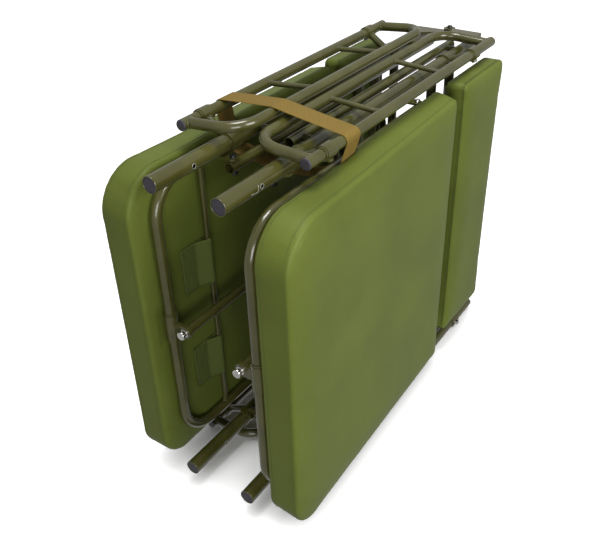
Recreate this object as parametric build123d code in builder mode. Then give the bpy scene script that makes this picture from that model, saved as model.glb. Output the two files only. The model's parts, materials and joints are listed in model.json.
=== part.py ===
"""Padded folding cot, folded in half like a book and standing on its long side.

Frame: X runs along the rails from their near ends to the fold hinge, Y from the front half to the
rear half, Z up. The origin is on the floor under the middle of the folded pack. Sizes are in mm.
The front half is side -1 and the rear half side +1. Level +1 is the upper long side, -1 the lower.
"""
import os
from math import asin, atan, cos, degrees, radians, sin

from build123d import *

os.makedirs("parts", exist_ok=True)

# Tubes
RAIL_OD = 32.0
RAIL_WALL = 1.8
TUBE_OD = 22.0
TUBE_WALL = 1.5
BOW_OD = 21.0
RUNG_OD = 11.0
BAR_OD = 12.0
POST_OD = 18.0

# Main rails and the fold hinge
RAIL_SPACING = 672.0
HALVES_GAP = 146.0
HINGE_REACH = 990.0
FOLD_CLEARANCE = 0.5
CROSS_HOLE_AT = 91.0
CROSS_HOLE_R = 4.5
PLUG_FLANGE = 3.0
PLUG_SPIGOT = 15.0
PLUG_FIT = 0.05
HINGE_EAR_R = 14.0
HINGE_EAR_THICK = 5.0
HINGE_EAR_GAP = 0.6
HINGE_EAR_ROOT = 52.0
HINGE_EAR_BED = 4.0
SADDLE_WIDTH = 24.0
HINGE_BOLT_R = 5.0
RUNNING_FIT = 0.05

# Guards that swing on the long sides
GUARD_WIDTH = 122.0
GUARD_NEAR_CAP = 148.0
GUARD_FAR_CAP = {-1: 75.0, 1: 107.0}
BOW_INSET = 16.0
BOW_BEND = 54.0
RUNG_AT = (404.0, 662.0)
GUARD_CLEARANCE = 0.8
ARM_LENGTH = {1: 70.0, -1: 88.0}
ARM_OD = 16.0
ARM_INSET = 62.0
ARM_FAR_AT = 178.0
ARM_BOLT_LEAN = 20.0
SLEEVE_WALL = 3.2
SLEEVE_LENGTH = 28.0
STOP_RING_WIDTH = 4.0
STOP_RING_WALL = 2.0
AXIAL_PLAY = 0.3
GUARD_TILT = {-1: 3.4, 1: 5.0}
RAISED_ARM_ANGLE = 33.5
LOWER_ARM_ANGLE = 25.5

# Tilting panels
PANEL_DEPTH = 117.0
PANEL_HALF_WIDTH = 304.0
PANEL_NEAR = {-1: 12.0, 1: 40.0}
PANEL_FAR = 638.0
PANEL_PIVOT_AT = 590.0
PANEL_NEAR_BEND = 79.0
PANEL_FAR_BEND = 36.0
CROSS_BAR_AT = 168.0
TAB_CENTRES = (84.0, -158.0)
TAB_HEIGHT = 104.0
TAB_REACH = 72.0
TAB_THICK = 2.0
TAB_GUSSET = 24.0

# Props under the panels
PROP_LENGTH = 384.0
PROP_DROP = 38.0
PROP_OD = 20.0
PROP_SLEEVE_LENGTH = 58.0
LUG_THICK = 8.0
LUG_HEIGHT = 26.0

# Legs
LEG_DEPTH = 44.0
LEG_HALF_WIDTH = 304.0
LEG_PIVOT_AT = 180.0
LEG_LENGTH = 390.0
LEG_HEAD = 14.0
LEG_BEND = 48.0
FOOT_OD = 30.0
FOOT_LENGTH = 42.0
FOOT_SPACING = 400.0

# Pivot ears and bolts
EAR_THICK = 5.0
EAR_R = 10.5
EAR_CLEARANCE = 0.7
PIVOT_BOLT_R = 4.0
BOLT_HEAD_R = 7.0
BOLT_HEAD_H = 5.0
NUT_H = 6.0
DOME_TAPER = 18.0
STUD_TAPER = 12.0

# Pads; the long ones are thicker at their near ends
PAD_SEAT_GAP = 0.4
LONG_PAD_NEAR_THICK = 80.0
LONG_PAD_FAR_THICK = 60.0
LONG_PAD_HALF_HEIGHT = 340.0
LONG_PAD_NEAR = {-1: -6.0, 1: -14.0}
LONG_PAD_FAR = 648.0
LONG_PAD_RISE = {-1: -16.0, 1: -8.0}
LONG_PAD_NEAR_BEND = {1: 92.0, -1: 64.0}
SHORT_PAD_THICK = 57.0
SHORT_PAD_HALF_HEIGHT = 331.0
SHORT_PAD_NEAR = 688.0
SHORT_PAD_FAR = 902.0
SHORT_PAD_RISE = 7.0
PAD_FAR_BEND = 14.0
PAD_EDGE_R = 9.0
PAD_CROWN = 3.0
PAD_CROWN_INSET = 70.0
PAD_DRAW_IN = 3.0
PAD_DENT_CLEARANCE = 0.6
EDGE_STEPS = (0, 30, 60, 90)

# Side tubes along the inside of the rails
SIDE_TUBE_DEPTH = 27.0
SIDE_TUBE_NEAR = 254.0
SIDE_TUBE_FAR = 50.0
SPACER_OD = 14.0
SPACER_INSET = 36.0

# Bearers under the short pads
BEARER_INSET = 60.0
POST_SPACING = 360.0

# Strap
STRAP_AT = 256.0
STRAP_WIDTH = 46.0
STRAP_THICK = 2.0
STRAP_GAP = 0.4

SIDES = {"front": -1, "rear": 1}
LEVELS = {"upper": 1, "lower": -1}

# Places worked out from the sizes above
RAIL_Y = HALVES_GAP / 2
GUARD_LIFT = (RAIL_OD + TUBE_OD) / 2 + GUARD_CLEARANCE
UPPER_ARM_ANGLE = degrees(asin(GUARD_LIFT / ARM_LENGTH[1]))
SLEEVE_OD = TUBE_OD + 2 * SLEEVE_WALL
MID_Z = SLEEVE_OD / 2 + ARM_LENGTH[-1] * sin(radians(LOWER_ARM_ANGLE)) + RAIL_SPACING / 2
NEAR_X = -(HINGE_REACH + HINGE_EAR_R + LONG_PAD_NEAR[1]) / 2
HINGE_X = NEAR_X + HINGE_REACH
RAIL_END_X = HINGE_X - FOLD_CLEARANCE - PLUG_FLANGE
EAR_NEAR_Z = max(PANEL_HALF_WIDTH, LEG_HALF_WIDTH) + TUBE_OD / 2 + EAR_CLEARANCE
PAD_INNER_Y = PANEL_DEPTH + TUBE_OD / 2 + PAD_SEAT_GAP
BEARER_X = (NEAR_X + SHORT_PAD_NEAR + BEARER_INSET, NEAR_X + SHORT_PAD_FAR - BEARER_INSET)


def save(piece: BuildPart, name: str) -> None:
    """Label a finished piece and write it to its own STEP file."""
    piece.part.label = name
    export_step(piece.part, f"parts/{name}.step")


def rail_z(level: int) -> float:
    """Height of a main rail's axis."""
    return MID_Z + level * RAIL_SPACING / 2


def add_rod(start: tuple, end: tuple, diameter: float, mode: Mode = Mode.ADD) -> None:
    """Add or cut a straight round bar between two points."""
    run = Vector(*end) - Vector(*start)
    with BuildSketch(Plane(origin=start, z_dir=run)) as section:
        Circle(diameter / 2)
    extrude(section.sketch, amount=run.length, mode=mode)


def add_tube(start: tuple, end: tuple, diameter: float, wall: float) -> None:
    """Add a straight tube between two points."""
    run = Vector(*end) - Vector(*start)
    with BuildSketch(Plane(origin=start, z_dir=run)) as section:
        Circle(diameter / 2)
        Circle(diameter / 2 - wall, mode=Mode.SUBTRACT)
    extrude(section.sketch, amount=run.length)


def add_bent_tube(points: list, radius: float, diameter: float, wall: float) -> None:
    """Add a tube bent at each inner point of its route."""
    with BuildLine() as route:
        FilletPolyline(*points, radius=radius)
    path = route.wire()
    with BuildSketch(Plane(origin=path @ 0, z_dir=path % 0)) as section:
        Circle(diameter / 2)
        Circle(diameter / 2 - wall, mode=Mode.SUBTRACT)
    sweep(section.sketch, path=path)


def add_plug(x: float, y: float, z: float, outward: int, diameter: float, wall: float) -> None:
    """Add the plug of a tube end: a flange over the end and a spigot inside."""
    add_rod((x, y, z), (x + outward * PLUG_FLANGE, y, z), diameter)
    add_rod((x, y, z), (x - outward * PLUG_SPIGOT, y, z), diameter - 2 * wall - 2 * PLUG_FIT)


def add_bolt(x: float, y: float, head_z: float, nut_z: float, radius: float) -> None:
    """Add a bolt along Z: its domed head sits at head_z and its nut at nut_z."""
    up = 1 if head_z > nut_z else -1
    add_rod((x, y, nut_z), (x, y, head_z), 2 * radius)
    with BuildSketch(Plane(origin=(x, y, head_z), z_dir=(0, 0, up))) as head:
        Circle(BOLT_HEAD_R)
    extrude(head.sketch, amount=BOLT_HEAD_H, taper=DOME_TAPER)
    with BuildSketch(Plane(origin=(x, y, nut_z), z_dir=(0, 0, -up))) as nut:
        RegularPolygon(BOLT_HEAD_R, 6)
    extrude(nut.sketch, amount=NUT_H)


def guard_axis(side: int, level: int) -> tuple:
    """Axis of a guard's outer rail, as (y, z)."""
    angle = LOWER_ARM_ANGLE
    if level > 0:
        angle = RAISED_ARM_ANGLE if side > 0 else UPPER_ARM_ANGLE
    y = side * (RAIL_Y + ARM_LENGTH[level] * cos(radians(angle)))
    z = rail_z(level) + level * ARM_LENGTH[level] * sin(radians(angle))
    return y, z


def guard_point(side: int, level: int, x: float, across: float) -> tuple:
    """A point of a guard's ladder, across mm from its outer rail towards its inner one."""
    y, z = guard_axis(side, level)
    tilt = radians(GUARD_TILT[side]) if level > 0 else 0
    return (x, y - side * across * cos(tilt), z + level * across * sin(tilt))


def cut_rail_bed(side: int, level: int) -> None:
    """Cut the round bed where a welded piece meets a main rail."""
    y, z = side * RAIL_Y, rail_z(level)
    add_rod((NEAR_X, y, z), (HINGE_X, y, z), RAIL_OD, Mode.SUBTRACT)


def ear_lift(side: int) -> float:
    """Distance of a hinge ear's inner face from its rail's axis; the front ear lies over the rear one."""
    over = HINGE_EAR_THICK + HINGE_EAR_GAP if side < 0 else 0
    return RAIL_OD / 2 - HINGE_EAR_BED + over


def strap_rounds() -> list:
    """Tubes that the strap is drawn round, as (y, z, radius)."""
    rounds = []
    for side in SIDES.values():
        y, z = guard_axis(side, 1)
        inner = guard_point(side, 1, 0, GUARD_WIDTH)
        rounds.append((y, z, TUBE_OD / 2))
        rounds.append((inner[1], inner[2], BOW_OD / 2))
        rounds.append((side * RAIL_Y, rail_z(1), RAIL_OD / 2))
        rounds.append((side * LEG_DEPTH, MID_Z + LEG_HALF_WIDTH, TUBE_OD / 2))
        rounds.append((side * PANEL_DEPTH, MID_Z + PANEL_HALF_WIDTH, TUBE_OD / 2))
    return rounds


def add_strap_loop(start: float, width: float, spare: float, mode: Mode = Mode.ADD) -> None:
    """Add or cut the tight loop round those tubes, spare mm outside them."""
    with BuildSketch(Plane.YZ.offset(start)) as loop:
        with BuildLine():
            for y, z, radius in strap_rounds():
                CenterArc((y, z), radius + spare, 0, 360)
        make_hull()
    extrude(loop.sketch, amount=width, mode=mode)


def arm_x() -> tuple:
    """Middles of the two sleeves that carry a guard."""
    return (NEAR_X + GUARD_NEAR_CAP + ARM_INSET, HINGE_X - ARM_FAR_AT)


# Main rails, their plugs, cross tubes and side tubes
for half, side in SIDES.items():
    for height, level in LEVELS.items():
        with BuildPart() as rail:
            axis_z = rail_z(level)
            add_tube((NEAR_X, side * RAIL_Y, axis_z), (RAIL_END_X, side * RAIL_Y, axis_z), RAIL_OD, RAIL_WALL)
            hole_x = NEAR_X + CROSS_HOLE_AT
            add_rod((hole_x, side * RAIL_Y - RAIL_OD, axis_z), (hole_x, side * RAIL_Y + RAIL_OD, axis_z),
                    2 * CROSS_HOLE_R, Mode.SUBTRACT)
        save(rail, f"{half}_rail_{height}")

    with BuildPart() as plugs:
        for level in LEVELS.values():
            add_plug(NEAR_X, side * RAIL_Y, rail_z(level), -1, RAIL_OD, RAIL_WALL)
            add_plug(RAIL_END_X, side * RAIL_Y, rail_z(level), 1, RAIL_OD, RAIL_WALL)
    save(plugs, f"{half}_rail_plugs")

    with BuildPart() as cross_tubes:
        for x in BEARER_X:
            add_tube((x, side * RAIL_Y, rail_z(-1)), (x, side * RAIL_Y, rail_z(1)), TUBE_OD, TUBE_WALL)
        for level in LEVELS.values():
            cut_rail_bed(side, level)
    save(cross_tubes, f"{half}_cross_tubes")

    with BuildPart() as side_tubes:
        tube_x = (NEAR_X + SIDE_TUBE_NEAR, HINGE_X - SIDE_TUBE_FAR)
        tube_y = side * SIDE_TUBE_DEPTH
        for level in LEVELS.values():
            axis_z = rail_z(level)
            add_rod((tube_x[0], tube_y, axis_z), (tube_x[1], tube_y, axis_z), TUBE_OD)
            for x in (tube_x[0] + SPACER_INSET, tube_x[1] - SPACER_INSET):
                add_rod((x, tube_y, axis_z), (x, side * RAIL_Y, axis_z), SPACER_OD)
            add_rod((tube_x[0], tube_y, axis_z), (tube_x[1], tube_y, axis_z), TUBE_OD - 2 * TUBE_WALL,
                    Mode.SUBTRACT)
            cut_rail_bed(side, level)
    save(side_tubes, f"{half}_side_tubes")

# Fold hinge: an ear on a saddle at each rail end, the front ear over the rear one, a bolt at each level
for half, side in SIDES.items():
    with BuildPart() as hinge_ears:
        for level in LEVELS.values():
            lift = ear_lift(side)
            root_x = RAIL_END_X - HINGE_EAR_ROOT
            saddle_plane = Plane(origin=(0, 0, rail_z(level)), x_dir=(1, 0, 0), z_dir=(0, 0, level))
            with BuildSketch(saddle_plane) as saddle:
                with Locations((root_x + HINGE_EAR_ROOT / 2, level * side * RAIL_Y)):
                    Rectangle(HINGE_EAR_ROOT, SADDLE_WIDTH)
            extrude(saddle.sketch, amount=lift)
            with BuildSketch(saddle_plane.offset(lift)) as outline:
                with BuildLine():
                    reach = level * side * (RAIL_Y + SADDLE_WIDTH / 2)
                    Polyline((root_x, reach), (RAIL_END_X, reach), (HINGE_X, 0), (HINGE_X - HINGE_EAR_R, 0),
                             (root_x, level * side * (RAIL_Y - SADDLE_WIDTH / 2)), close=True)
                make_face()
                with Locations((HINGE_X, 0)):
                    Circle(HINGE_EAR_R)
                    Circle(HINGE_BOLT_R + RUNNING_FIT, mode=Mode.SUBTRACT)
            extrude(outline.sketch, amount=HINGE_EAR_THICK)
            cut_rail_bed(side, level)
    save(hinge_ears, f"{half}_hinge_ears")

with BuildPart() as hinge_bolts:
    for level in LEVELS.values():
        head = ear_lift(-1) + HINGE_EAR_THICK + AXIAL_PLAY
        nut = ear_lift(1) - AXIAL_PLAY
        add_bolt(HINGE_X, 0, rail_z(level) + level * head, rail_z(level) + level * nut, HINGE_BOLT_R)
save(hinge_bolts, "hinge_bolts")

# Guards: outer rail with its stop rings, bow with its rungs, end caps
for half, side in SIDES.items():
    for height, level in LEVELS.items():
        y, z = guard_axis(side, level)
        ends = (NEAR_X + GUARD_NEAR_CAP, HINGE_X - GUARD_FAR_CAP[side])
        with BuildPart() as outer_rail:
            add_tube((ends[0], y, z), (ends[1], y, z), TUBE_OD, TUBE_WALL)
            for x in arm_x():
                for way in (-1, 1):
                    ring_x = x + way * (SLEEVE_LENGTH / 2 + AXIAL_PLAY)
                    add_tube((ring_x, y, z), (ring_x + way * STOP_RING_WIDTH, y, z),
                             TUBE_OD + 2 * STOP_RING_WALL, STOP_RING_WALL)
        save(outer_rail, f"{half}_{height}_guard_rail")

        bow_x = (ends[0] + BOW_INSET, ends[1] - BOW_INSET)
        corners = [(bow_x[0], 0), (bow_x[0], GUARD_WIDTH), (bow_x[1], GUARD_WIDTH), (bow_x[1], 0)]
        with BuildPart() as bow:
            route = [guard_point(side, level, *corner) for corner in corners]
            add_bent_tube(route, BOW_BEND, BOW_OD, TUBE_WALL)
            for rung_at in RUNG_AT:
                x = NEAR_X + rung_at
                add_rod(guard_point(side, level, x, 0),
                        guard_point(side, level, x, GUARD_WIDTH - BOW_OD / 2 + TUBE_WALL / 2), RUNG_OD)
            add_rod((ends[0], y, z), (ends[1], y, z), TUBE_OD, Mode.SUBTRACT)
        save(bow, f"{half}_{height}_guard_bow")

        with BuildPart() as caps:
            add_plug(ends[0], y, z, -1, TUBE_OD, TUBE_WALL)
            add_plug(ends[1], y, z, 1, TUBE_OD, TUBE_WALL)
        save(caps, f"{half}_{height}_guard_caps")

# Arms that carry the guards, clamped on the rails, and their bolts
for half, side in SIDES.items():
    with BuildPart() as arms:
        for level in LEVELS.values():
            y, z = guard_axis(side, level)
            for x in arm_x():
                add_rod((x, side * RAIL_Y, rail_z(level)), (x, y, z), ARM_OD)
                for way in (-1, 1):
                    end_x = x + way * SLEEVE_LENGTH / 2
                    add_rod((x, y, z), (end_x, y, z), SLEEVE_OD)
                    add_rod((x, side * RAIL_Y, rail_z(level)), (end_x, side * RAIL_Y, rail_z(level)),
                            RAIL_OD + 2 * SLEEVE_WALL)
            add_rod((NEAR_X, y, z), (HINGE_X, y, z), TUBE_OD + 2 * RUNNING_FIT, Mode.SUBTRACT)
            cut_rail_bed(side, level)
    save(arms, f"{half}_guard_arms")

    with BuildPart() as arm_bolts:
        for level in LEVELS.values():
            y, z = guard_axis(side, level)
            lean = radians(ARM_BOLT_LEAN if level > 0 else 90)
            way = Vector(0, side * sin(lean), -cos(lean))
            for x in arm_x():
                seat = Vector(x, y, z) + way * (SLEEVE_OD / 2 - AXIAL_PLAY)
                with BuildSketch(Plane(origin=seat, z_dir=way)) as head:
                    Circle(BOLT_HEAD_R)
                extrude(head.sketch, amount=BOLT_HEAD_H + AXIAL_PLAY, taper=STUD_TAPER)
            add_rod((NEAR_X, y, z), (HINGE_X, y, z), SLEEVE_OD, Mode.SUBTRACT)
    save(arm_bolts, f"{half}_guard_arm_bolts")

# Pivot ears under the rails, for the legs and for the panels
for half, side in SIDES.items():
    with BuildPart() as pivot_ears:
        for level in LEVELS.values():
            low = EAR_NEAR_Z if level > 0 else -EAR_NEAR_Z - EAR_THICK
            for at, depth in ((LEG_PIVOT_AT, LEG_DEPTH), (PANEL_PIVOT_AT, PANEL_DEPTH)):
                middle = Location((NEAR_X + at, side * (depth + RAIL_Y) / 2), 90)
                with BuildSketch(Plane.XY.offset(MID_Z + low)) as outline:
                    with Locations(middle):
                        SlotCenterToCenter(abs(depth - RAIL_Y), 2 * EAR_R)
                    with Locations((NEAR_X + at, side * depth)):
                        Circle(PIVOT_BOLT_R + RUNNING_FIT, mode=Mode.SUBTRACT)
                extrude(outline.sketch, amount=EAR_THICK)
            cut_rail_bed(side, level)
    save(pivot_ears, f"{half}_pivot_ears")

# Tilting panels: bent frame, cross bar, pivot bolts and stop rings
for half, side in SIDES.items():
    near_x = NEAR_X + PANEL_NEAR[side]
    far_x = NEAR_X + PANEL_FAR
    joint_x = (near_x + far_x) / 2
    y = side * PANEL_DEPTH
    top = MID_Z + PANEL_HALF_WIDTH
    bottom = MID_Z - PANEL_HALF_WIDTH
    with BuildPart() as panel_frame:
        for end_x, bend in ((near_x, PANEL_NEAR_BEND), (far_x, PANEL_FAR_BEND)):
            add_bent_tube([(joint_x, y, bottom), (end_x, y, bottom), (end_x, y, top), (joint_x, y, top)],
                          bend, TUBE_OD, TUBE_WALL)
        pivot_x = NEAR_X + PANEL_PIVOT_AT
        add_rod((pivot_x, y, bottom - TUBE_OD), (pivot_x, y, top + TUBE_OD), 2 * PIVOT_BOLT_R, Mode.SUBTRACT)
    save(panel_frame, f"{half}_panel_frame")

    bar_x = NEAR_X + CROSS_BAR_AT
    with BuildPart() as cross_bar:
        add_rod((bar_x, y, bottom), (bar_x, y, top), BAR_OD)
        for edge in (bottom, top):
            add_rod((near_x, y, edge), (far_x, y, edge), TUBE_OD, Mode.SUBTRACT)
    save(cross_bar, f"{half}_panel_cross_bar")

    with BuildPart() as pivot_bolts:
        for level in LEVELS.values():
            head = MID_Z + level * (EAR_NEAR_Z + EAR_THICK + AXIAL_PLAY)
            nut = MID_Z + level * (PANEL_HALF_WIDTH - TUBE_OD / 2)
            add_bolt(pivot_x, y, head, nut, PIVOT_BOLT_R)
    save(pivot_bolts, f"{half}_panel_pivot_bolts")

    with BuildPart() as stop_rings:
        for level in LEVELS.values():
            ring_z = MID_Z + level * (PROP_SLEEVE_LENGTH / 2 + AXIAL_PLAY)
            add_tube((near_x, y, ring_z), (near_x, y, ring_z + level * STOP_RING_WIDTH),
                     TUBE_OD + 2 * STOP_RING_WALL, STOP_RING_WALL)
    save(stop_rings, f"{half}_stop_rings")

# Props: a sleeve that turns on the panel's near tube, its lug, the tube and the bolt that joins them
for half, side in SIDES.items():
    near_x = NEAR_X + PANEL_NEAR[side]
    y = side * PANEL_DEPTH
    prop_y = side * (PANEL_DEPTH - PROP_DROP)
    lug_face = near_x + LUG_THICK / 2
    with BuildPart() as prop_sleeve:
        add_rod((near_x, y, MID_Z - PROP_SLEEVE_LENGTH / 2), (near_x, y, MID_Z + PROP_SLEEVE_LENGTH / 2),
                SLEEVE_OD)
        lug_plane = Plane(origin=(near_x - LUG_THICK / 2, 0, MID_Z), x_dir=(0, 1, 0), z_dir=(1, 0, 0))
        with BuildSketch(lug_plane) as lug:
            with Locations(((y + prop_y) / 2, 0)):
                SlotCenterToCenter(PROP_DROP, LUG_HEIGHT)
            with Locations((prop_y, 0)):
                Circle(PIVOT_BOLT_R, mode=Mode.SUBTRACT)
        extrude(lug.sketch, amount=LUG_THICK)
        add_rod((near_x, y, MID_Z - PROP_SLEEVE_LENGTH), (near_x, y, MID_Z + PROP_SLEEVE_LENGTH),
                TUBE_OD + 2 * RUNNING_FIT, Mode.SUBTRACT)
    save(prop_sleeve, f"{half}_prop_sleeve")

    with BuildPart() as prop_tube:
        add_tube((lug_face, prop_y, MID_Z), (lug_face + PROP_LENGTH, prop_y, MID_Z), PROP_OD, TUBE_WALL)
    save(prop_tube, f"{half}_prop_tube")

    with BuildPart() as prop_bolt:
        add_rod((near_x - LUG_THICK / 2, prop_y, MID_Z), (lug_face, prop_y, MID_Z), 2 * PIVOT_BOLT_R)
        add_rod((lug_face, prop_y, MID_Z), (lug_face + PLUG_SPIGOT, prop_y, MID_Z), PROP_OD - 2 * TUBE_WALL)
        with BuildSketch(Plane(origin=(near_x - LUG_THICK / 2, prop_y, MID_Z), z_dir=(-1, 0, 0))) as head:
            Circle(BOLT_HEAD_R)
        extrude(head.sketch, amount=BOLT_HEAD_H, taper=STUD_TAPER)
    save(prop_bolt, f"{half}_prop_bolt")

# Legs: a bent frame, foot sleeves and pivot bolts
for half, side in SIDES.items():
    y = side * LEG_DEPTH
    pivot_x = NEAR_X + LEG_PIVOT_AT
    foot_x = pivot_x + LEG_LENGTH
    top = MID_Z + LEG_HALF_WIDTH
    bottom = MID_Z - LEG_HALF_WIDTH
    with BuildPart() as leg_frame:
        add_bent_tube([(pivot_x - LEG_HEAD, y, bottom), (foot_x, y, bottom), (foot_x, y, top),
                       (pivot_x - LEG_HEAD, y, top)], LEG_BEND, TUBE_OD, TUBE_WALL)
        add_rod((pivot_x, y, bottom - TUBE_OD), (pivot_x, y, top + TUBE_OD), 2 * PIVOT_BOLT_R, Mode.SUBTRACT)
    save(leg_frame, f"{half}_leg_frame")

    with BuildPart() as leg_feet:
        for level in LEVELS.values():
            foot_z = MID_Z + level * FOOT_SPACING / 2
            add_tube((foot_x, y, foot_z - FOOT_LENGTH / 2), (foot_x, y, foot_z + FOOT_LENGTH / 2),
                     FOOT_OD, (FOOT_OD - TUBE_OD) / 2)
    save(leg_feet, f"{half}_leg_feet")

    with BuildPart() as leg_bolts:
        for level in LEVELS.values():
            head = MID_Z + level * (EAR_NEAR_Z + EAR_THICK + AXIAL_PLAY)
            nut = MID_Z + level * (LEG_HALF_WIDTH - TUBE_OD / 2)
            add_bolt(pivot_x, y, head, nut, PIVOT_BOLT_R)
    save(leg_bolts, f"{half}_leg_pivot_bolts")

# Bearer tubes and posts under the short pads
for half, side in SIDES.items():
    with BuildPart() as bearers:
        for x in BEARER_X:
            bearer_y = side * PANEL_DEPTH
            add_tube((x, bearer_y, MID_Z - PANEL_HALF_WIDTH), (x, bearer_y, MID_Z + PANEL_HALF_WIDTH),
                     TUBE_OD, TUBE_WALL)
            for level in LEVELS.values():
                post_z = MID_Z + level * POST_SPACING / 2
                add_tube((x, side * RAIL_Y, post_z), (x, bearer_y - side * (TUBE_OD - TUBE_WALL) / 2, post_z),
                         POST_OD, TUBE_WALL)
            add_rod((x, side * RAIL_Y, rail_z(-1)), (x, side * RAIL_Y, rail_z(1)), TUBE_OD, Mode.SUBTRACT)
    save(bearers, f"{half}_seat_bearers")


def pad_outline(length: float, height: float, near_bend: dict, inset: float) -> None:
    """Draw a pad's outline round the sketch's origin, its straight sides drawn in between the corners."""
    near, far = inset - length / 2, length / 2 - inset
    low, high = inset - height / 2, height / 2 - inset
    top_r = max(near_bend[1] - inset, PAD_EDGE_R)
    low_r = max(near_bend[-1] - inset, PAD_EDGE_R)
    far_r = max(PAD_FAR_BEND - inset, PAD_EDGE_R)
    bulge = 1 - sin(radians(45))
    with BuildLine() as border:
        ThreePointArc((near, low + low_r), (near + PAD_DRAW_IN, 0), (near, high - top_r))
        ThreePointArc((near, high - top_r), (near + bulge * top_r, high - bulge * top_r), (near + top_r, high))
        ThreePointArc((near + top_r, high), (0, high - PAD_DRAW_IN), (far - far_r, high))
        ThreePointArc((far - far_r, high), (far - bulge * far_r, high - bulge * far_r), (far, high - far_r))
        ThreePointArc((far, high - far_r), (far - PAD_DRAW_IN, 0), (far, low + far_r))
        ThreePointArc((far, low + far_r), (far - bulge * far_r, low + bulge * far_r), (far - far_r, low))
        ThreePointArc((far - far_r, low), (0, low + PAD_DRAW_IN), (near + low_r, low))
        ThreePointArc((near + low_r, low), (near + bulge * low_r, low + bulge * low_r), (near, low + low_r))
    make_face(border.edges())


def add_pad(side: int, ends: tuple, thick: tuple, half_height: float, rise: float, near_bend: dict) -> None:
    """Add a cushion: rounded edges, drawn-in sides and a crowned outer face, thick at its (near, far) ends."""
    length = ends[1] - ends[0]
    middle_thick = sum(thick) / 2
    slope = (thick[0] - thick[1]) / length
    steps = []
    for angle in EDGE_STEPS:
        steps.append((PAD_EDGE_R * (1 - cos(radians(angle))), PAD_EDGE_R * (1 - sin(radians(angle)))))
    outer = middle_thick - PAD_CROWN
    sections = steps + [(outer - depth, inset) for depth, inset in reversed(steps)]
    sections.append((middle_thick, PAD_CROWN_INSET))
    faces = []
    for depth, inset in sections:
        lean = atan(slope * depth / middle_thick)
        level_plane = Plane(origin=(sum(ends) / 2, side * (PAD_INNER_Y + depth), MID_Z + rise),
                            x_dir=(cos(lean), -side * sin(lean), 0), z_dir=(-side * sin(lean), -cos(lean), 0))
        with BuildSketch(level_plane) as outline:
            pad_outline(length, 2 * half_height, near_bend, inset)
        faces.append(outline.sketch.face())
    loft(faces, ruled=True)


# Pads and the tabs that hold the long ones to their cross bars
for half, side in SIDES.items():
    with BuildPart() as long_pad:
        pad_x = (NEAR_X + LONG_PAD_NEAR[side], NEAR_X + LONG_PAD_FAR)
        add_pad(side, pad_x, (LONG_PAD_NEAR_THICK, LONG_PAD_FAR_THICK), LONG_PAD_HALF_HEIGHT,
                LONG_PAD_RISE[side], LONG_PAD_NEAR_BEND)
        near_x = NEAR_X + PANEL_NEAR[side]
        dent = PROP_SLEEVE_LENGTH / 2 + AXIAL_PLAY + STOP_RING_WIDTH + PAD_DENT_CLEARANCE
        add_rod((near_x, side * PANEL_DEPTH, MID_Z - dent), (near_x, side * PANEL_DEPTH, MID_Z + dent),
                SLEEVE_OD + 2 * PAD_DENT_CLEARANCE, Mode.SUBTRACT)
        add_strap_loop(NEAR_X + STRAP_AT - PAD_DENT_CLEARANCE, STRAP_WIDTH + 2 * PAD_DENT_CLEARANCE,
                       STRAP_GAP + STRAP_THICK + PAD_DENT_CLEARANCE, Mode.SUBTRACT)
    save(long_pad, f"{half}_long_pad")

    with BuildPart() as short_pad:
        pad_x = (NEAR_X + SHORT_PAD_NEAR, NEAR_X + SHORT_PAD_FAR)
        add_pad(side, pad_x, (SHORT_PAD_THICK, SHORT_PAD_THICK), SHORT_PAD_HALF_HEIGHT, SHORT_PAD_RISE,
                {1: PAD_FAR_BEND, -1: PAD_FAR_BEND})
    save(short_pad, f"{half}_short_pad")

    bar_x = NEAR_X + CROSS_BAR_AT
    bar_y = side * PANEL_DEPTH
    with BuildPart() as tabs:
        for centre in TAB_CENTRES:
            with BuildSketch(Plane.XY.offset(MID_Z + centre - TAB_HEIGHT / 2)) as section:
                with Locations((bar_x, bar_y)):
                    Circle(BAR_OD / 2 + TAB_THICK)
                seat = side * (PAD_INNER_Y - TAB_THICK / 2)
                with Locations((bar_x - TAB_REACH / 2, seat)):
                    Rectangle(TAB_REACH, TAB_THICK)
                with BuildLine():
                    Polyline((bar_x - TAB_GUSSET, seat + side * TAB_THICK / 2),
                             (bar_x, bar_y - side * (BAR_OD / 2 + TAB_THICK)),
                             (bar_x, seat + side * TAB_THICK / 2), close=True)
                make_face()
                with Locations((bar_x, bar_y)):
                    Circle(BAR_OD / 2, mode=Mode.SUBTRACT)
            extrude(section.sketch, amount=TAB_HEIGHT)
    save(tabs, f"{half}_pad_tabs")

# Webbing strap, drawn tight round guards, rails, legs and panel frames of both halves
with BuildPart() as strap:
    add_strap_loop(NEAR_X + STRAP_AT, STRAP_WIDTH, STRAP_GAP + STRAP_THICK)
    add_strap_loop(NEAR_X + STRAP_AT, STRAP_WIDTH, STRAP_GAP, Mode.SUBTRACT)
save(strap, "strap")
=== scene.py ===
"""Dress the folded padded cot: vinyl cushions, webbing, weld beads, plugs and bolts on its painted frame.

Frame: X runs along the rails from their near ends to the fold hinge, Y from the front half to the
rear half, Z up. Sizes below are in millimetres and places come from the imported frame, in metres.
"""
from __future__ import annotations

import json
import logging
import math
from dataclasses import dataclass, field
from enum import Enum

import bmesh
import bpy
import numpy as np
from mathutils import Matrix, Vector

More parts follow.
